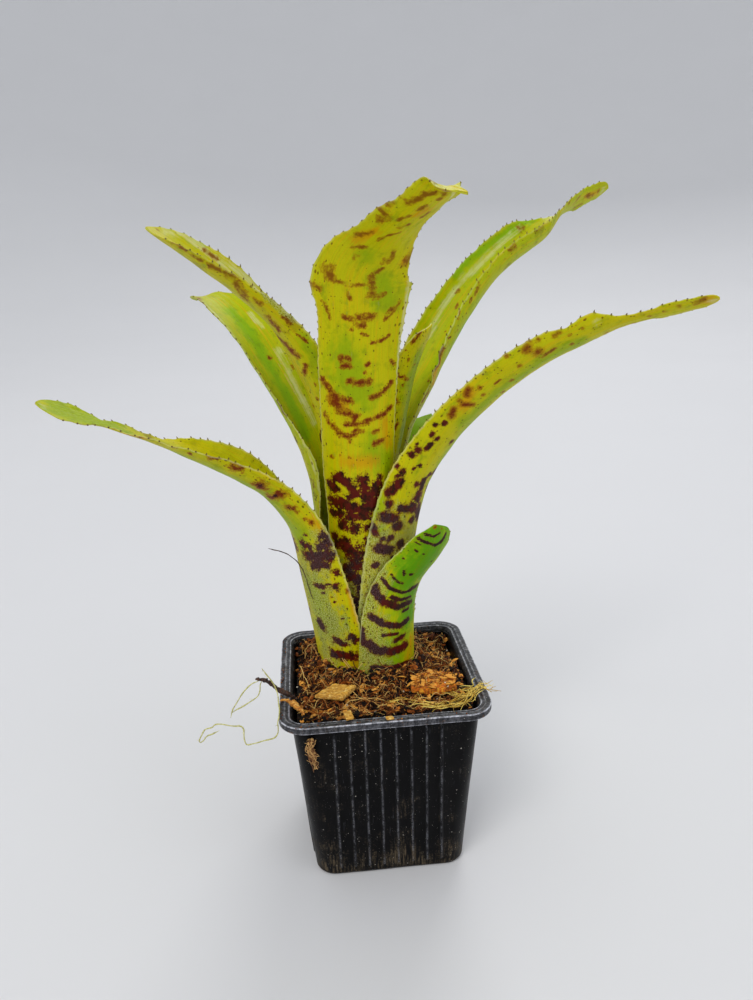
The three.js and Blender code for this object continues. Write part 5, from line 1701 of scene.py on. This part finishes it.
# Each strand's radius and the points that its route follows, as in the CAD model.
STRANDS = {
    "bark_stick": (0.85, [(-34, -18.5, 66.3), (-31.6, -20, 66.4), (-29, -23.6, 66.4),
                          (-26.6, -28.6, 66.3)]),
    "debris_twig": (0.6, [(-41.5, -15.5, 73), (-38.4, -15.5, 71.8), (-36.2, -15.5, 69.6),
                          (-34.2, -15.6, 67.8), (-31.4, -15.2, 66), (-29.2, -15, 64)]),
    "moss_strand_1": (MOSS_RADIUS, [
        (0, -23.6, 66.1), (5.7, -21.6, 66.2), (11.7, -23.7, 66.2), (19.5, -26.6, 66.2),
        (26.9, -23.3, 66.2), (33.1, -18.6, 66.1), (36.4, -17.8, 65.9)]),
    "moss_strand_2": (MOSS_RADIUS, [
        (10.8, -29.6, 66.1), (17.2, -30.6, 66.1), (22.6, -28.9, 66.1), (28.5, -25.4, 66.1),
        (33.6, -20.9, 66.1), (36, -20, 65.9)]),
    "moss_strand_3": (MOSS_RADIUS, [
        (21.8, -22.4, 67.3), (27.5, -25.2, 67.5), (32.2, -22.2, 67.5), (35.4, -25.2, 66.6)]),
    "hanging_strand_long": (STRAND_RADIUS, [
        (-39.9, -17, 77.6), (-38.6, -17, 75.5), (-37.4, -17, 73.4), (-36.1, -17, 70.8),
        (-35.4, -17.8, 68.3), (-35.1, -19.2, 66.4), (-34.9, -22, 65.8), (-34.7, -25.4, 65.7),
        (-34.9, -28, 65.5), (-35.3, -28.8, 64.2), (-35.2, -29, 62.4), (-35.6, -29, 60.4),
        (-36.9, -29, 58.8), (-40.5, -29, 58.1), (-43.8, -29, 57.3), (-45.7, -29, 57.3),
        (-46.3, -29, 59.2), (-46.2, -29, 62.2), (-46.9, -28.9, 64), (-48.9, -28.8, 64.3),
        (-51.4, -28.5, 64.6), (-53.6, -28, 65), (-55.2, -27.5, 64.6), (-56.5, -27, 63.3),
        (-58.5, -26.5, 62.6), (-60, -26, 60.5), (-61.1, -25.6, 58.2), (-60.9, -25, 56.9),
        (-59.9, -24.6, 57.4), (-58.8, -24.4, 58.7), (-56.7, -24, 59.1), (-54.7, -23.8, 60)]),
    "hanging_strand_upper": (STRAND_RADIUS, [
        (-41, -15.5, 72.5), (-41.9, -15.6, 72.1), (-43.8, -16, 71.6), (-46, -16.5, 69.9),
        (-48.2, -17, 67), (-50.2, -17.5, 64.1), (-51.5, -18, 60.8)]),
    "hanging_strand_lower": (STRAND_RADIUS, [
        (-40.2, -15.3, 72.2), (-40.9, -14.9, 70.6), (-41.4, -14.9, 68), (-42.6, -15.4, 66.1),
        (-45.6, -16.2, 64.6), (-48.6, -17, 63.4), (-50.8, -17.6, 62.5)]),
    "dry_hair": (0.22, [(-35.6, -2.4, 114.2), (-30.1, -1.9, 112), (-26.3, -1.2, 108.4),
                        (-24.2, -0.8, 104), (-22.9, -0.5, 98.4), (-21.8, -0.1, 93.5)]),
    "fibre_clump": (1.1, [(-24.4, -32.8, 59.8), (-25.4, -32.9, 57), (-24.8, -32.8, 52.8),
                          (-23.8, -32.4, 47.6)]),
}

# Each kind of strand: its slot and material ("looks"), how thick its core is for its radius, how
# unevenly, the core's sides, whether it is rough, its crumbs (count, size) and its side hairs
# (radius, count, length). A count of None is one for every HAIR_SPACING steps.
STRAND_KINDS = {
    "bark_stick": {"looks": ("bark_brown", "stick"), "core": 0.95, "uneven": 0.35, "sides": 10,
                   "rough": 0.5, "crumbs": (20, 0.5)},
    "debris_twig": {"looks": ("dry_fibre", "twig"), "core": 1.1, "uneven": 0.35, "sides": 10,
                    "rough": 0.5, "crumbs": (60, 0.75), "hairs": (0.07, 9, 2.2)},
    "moss": {"looks": ("moss", "moss"), "core": 0.45, "uneven": 0.35, "hairs": (0.08, 16, 4.2)},
    "hanging": {"looks": ("pale_strand", "pale_strand"), "hairs": (0.06, None, 1.3)},
    "dry_hair": {"looks": ("dry_fibre", "twig")},
    "fibre_clump": {"looks": ("dry_fibre", "clump")},
}
STRAND_CORE = 0.75
STRAND_UNEVEN = 0.16
STRAND_SIDES = 7
STRAND_SWAY = 0.22
HAIR_SPACING = 8


def scattered(draw, *spreads):
    """A random shift, with its spread along each axis."""
    return np.array([draw.gauss(0, spread) for spread in spreads])


def part_of(path, start, end, count):
    """Points of a path at even shares of it, from start to end."""
    return [path[int(t * (len(path) - 1))] for t in np.linspace(start, end, count)]


def wandering_radii(count, radius, spread, draw):
    """A radius for each step of a strand, thick and thin by turns and tapered at the ends."""
    steps = np.arange(count)
    wave = np.ones(count)
    for length in (7, 17, 31):
        phase = draw.uniform(0, WAVE_PHASES)
        wave += spread * np.sin(steps / length * 2 * math.pi + phase) / 2
    ends = np.minimum(steps, count - 1 - steps) / 5
    return radius * wave * (0.3 + 0.7 * np.clip(ends, 0, 1))


def add_hairs(parts, path, radius, count, length, draw):
    """Short curled hairs that stand off a strand."""
    for _ in range(count or len(path) // HAIR_SPACING):
        root = path[draw.randrange(1, len(path) - 1)]
        away = Vector((draw.gauss(0, 1), draw.gauss(0, 1), draw.gauss(0.2, 0.5))).normalized()
        curl = Vector(scattered(draw, 1, 1, 0.4)).normalized()
        reach = length * draw.uniform(0.4, 1)
        hair = [root, root + 0.5 * reach * np.array(away),
                root + reach * np.array(away) + 0.4 * reach * np.array(curl)]
        line = smooth_path(hair, reach / 6)
        parts.add_tube(line, radius * draw.uniform(0.7, 1.1), 4, draw.random())


def add_crumbs(parts, path, radius, count, size, draw):
    """Crumbs stuck along a path, more of them near its start."""
    for _ in range(count):
        at = path[int(draw.random() ** 1.6 * (len(path) - 1))]
        body = crumb(draw, draw.uniform(0.4, 1) * size)
        body += at + scattered(draw, 0.5, 0.25, 0.2) * radius
        parts.add(body, BALL_FACES, draw.random())


def add_bundle(parts, path, radius, draw):
    """A loose bundle of dry stems that wander about a path, each its own way."""
    for _ in range(MOSS_STEMS):
        start = draw.uniform(0, 0.6)
        end = min(start + draw.uniform(0.3, 0.7), 1)
        shift = np.array([*scattered(draw, 1.6, 1.6), 0])
        rows = []
        for point in part_of(path, start, end, 6):
            aside = scattered(draw, 0.6, 0.9, 0.4)
            row = point + shift + [aside[0], aside[1], abs(aside[2])]
            row[2] = max(row[2], bed_height(row[0], row[1]))
            rows.append(row)
        line = smooth_path(rows, 0.5)
        radii = wandering_radii(len(line), draw.uniform(0.16, 0.42) * radius, 0.3, draw)
        parts.add_tube(line, radii, 5, draw.random())


def add_clump(parts, path, radius, draw):
    """A tuft of fine fibres tangled about a path."""
    for _ in range(CLUMP_FIBRES):
        start = draw.uniform(0, 0.6)
        end = min(start + draw.uniform(0.2, 0.5), 1)
        rows = [point + scattered(draw, 0.7, 0.22, 0.55) * radius
                for point in part_of(path, start, end, 4)]
        parts.add_tube(smooth_path(rows, 0.4), draw.uniform(0.06, 0.13), 4, draw.random())


def add_core(parts, path, radius, look, draw):
    """The strand itself, which sways about its path."""
    radii = wandering_radii(len(path), look.get("core", STRAND_CORE) * radius,
                            look.get("uneven", STRAND_UNEVEN), draw)
    steps = np.arange(len(path))
    sway = np.column_stack([np.sin(steps * 0.5 + 2), np.sin(steps * 0.41),
                            0.5 * np.sin(steps * 0.63)])
    points, faces = tube(path + STRAND_SWAY * radius * sway, radii, look.get("sides", STRAND_SIDES))
    if "rough" in look:
        points = roughen(points, 0.8, look["rough"] * radius, 5)
    parts.add(points, faces, 0.5)


def bed_height(x, y):
    """The lowest that a moss stem can lie there: on the mix or on the rim."""
    return top_height(x, y) + 0.6 if inside_pot(x, y, 0.5) else POT_HEIGHT + 0.25


def sagged(path):
    """A strand's path, sunk towards the mix where it hangs over it."""
    low = np.array([top_height(x, y) + 0.9 if inside_pot(x, y, 1.2) else z for x, y, z in path])
    heights = np.minimum(path[:, 2], np.maximum(low, path[:, 2] - MOSS_SAG))
    return np.column_stack([path[:, :2], heights])


def make_strand(name, radius, route):
    draw = random.Random(name)
    kind = next(key for key in STRAND_KINDS if name.startswith(key))
    look = STRAND_KINDS[kind]
    path = smooth_path(route, 0.45 if radius > 0.25 else 0.3)
    parts = Parts()
    if kind == "fibre_clump":
        add_clump(parts, path, radius, draw)
        add_crumbs(parts, path, radius, 26, 0.55, draw)
    else:
        if kind == "moss":
            path = sagged(path)
        add_core(parts, path, radius, look, draw)
        if "crumbs" in look:
            add_crumbs(parts, path, radius, *look["crumbs"], draw)
        if kind == "moss":
            add_bundle(parts, path, radius, draw)
        if "hairs" in look:
            add_hairs(parts, path, *look["hairs"], draw)
    slot, finish = look["looks"]
    place_piece(parts.make(f"{name}_fibre", MATERIALS[finish]), name)


# ---------------------------------------------------------------- all of it
def make_materials():
    """Every material, by the name that the pieces use for it."""
    tones = {
        # the bed's near-black tones: dark peat, and painted shade for the shadow in the gaps
        # between the crumbs
        "soil": (mix_material, "mix_bed", (6, 3, 1), (30, 15, 6), (74, 40, 16)),
        "crumbs": (mix_material, "mix_crumb", (12, 6, 2), (124, 62, 16), (230, 160, 70)),
        "flakes": (mix_material, "mix_flake", (34, 15, 5), (170, 88, 20), (242, 172, 70)),
        "fibres": (mix_material, "mix_fibre", (44, 18, 6), (166, 88, 26), (240, 200, 118)),
        "bark_pale": (bark_material, "bark_pale", (166, 104, 26), (236, 180, 70), (252, 218, 124)),
        "bark_brown": (bark_material, "bark_brown", (100, 42, 4), (234, 126, 10), (254, 186, 48)),
        "stick": (bark_material, "bark_stick", (140, 76, 20), (226, 150, 48), (250, 202, 110)),
        "moss": (strand_material, "moss_strand", (184, 140, 30), (250, 224, 112)),
        "pale_strand": (strand_material, "pale_strand", (158, 154, 76), (222, 218, 146)),
        "twig": (strand_material, "dry_twig", (26, 16, 12), (88, 54, 36)),
        "clump": (strand_material, "fibre_clump", (112, 62, 24), (214, 170, 104)),
        "root": (strand_material, "root_fibre", (70, 42, 24), (140, 96, 58)),
        "leaf_yellow": (leaf_material, "leaf_yellow", (194, 192, 0), (154, 176, 0)),
        "leaf_green": (leaf_material, "leaf_green", (176, 188, 0), (140, 180, 2)),
    }
    materials = {key: make(name, *(colour(*tone) for tone in row))
                 for key, (make, name, *row) in tones.items()}
    return {**materials, "spine": spine_material(), "pot": pot_material(),
            "tissue": tissue_material()}


def dress_hidden_nodes():
    """The stem and its roots keep their CAD shapes, with materials of their own."""
    for name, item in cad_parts.items():
        if name == "stem" or name.startswith("anchor_root"):
            for slot in item.material_slots:
                slot.material = MATERIALS["tissue" if name == "stem" else "root"]


MATERIALS = make_materials()
make_camera()
make_lights()
make_floor()
reach_round_plant = base_reach()
for leaf_number, (leaf_name, leaf_facts) in enumerate(LEAVES.items()):
    make_leaf(leaf_name, leaf_facts, leaf_number)
make_pot()
make_soil(reach_round_plant)
make_bits(reach_round_plant)
for bark_name, bark_facts in BARK_PIECES.items():
    make_bark(bark_name, *bark_facts)
for strand_name, strand_facts in STRANDS.items():
    make_strand(strand_name, *strand_facts)
dress_hidden_nodes()
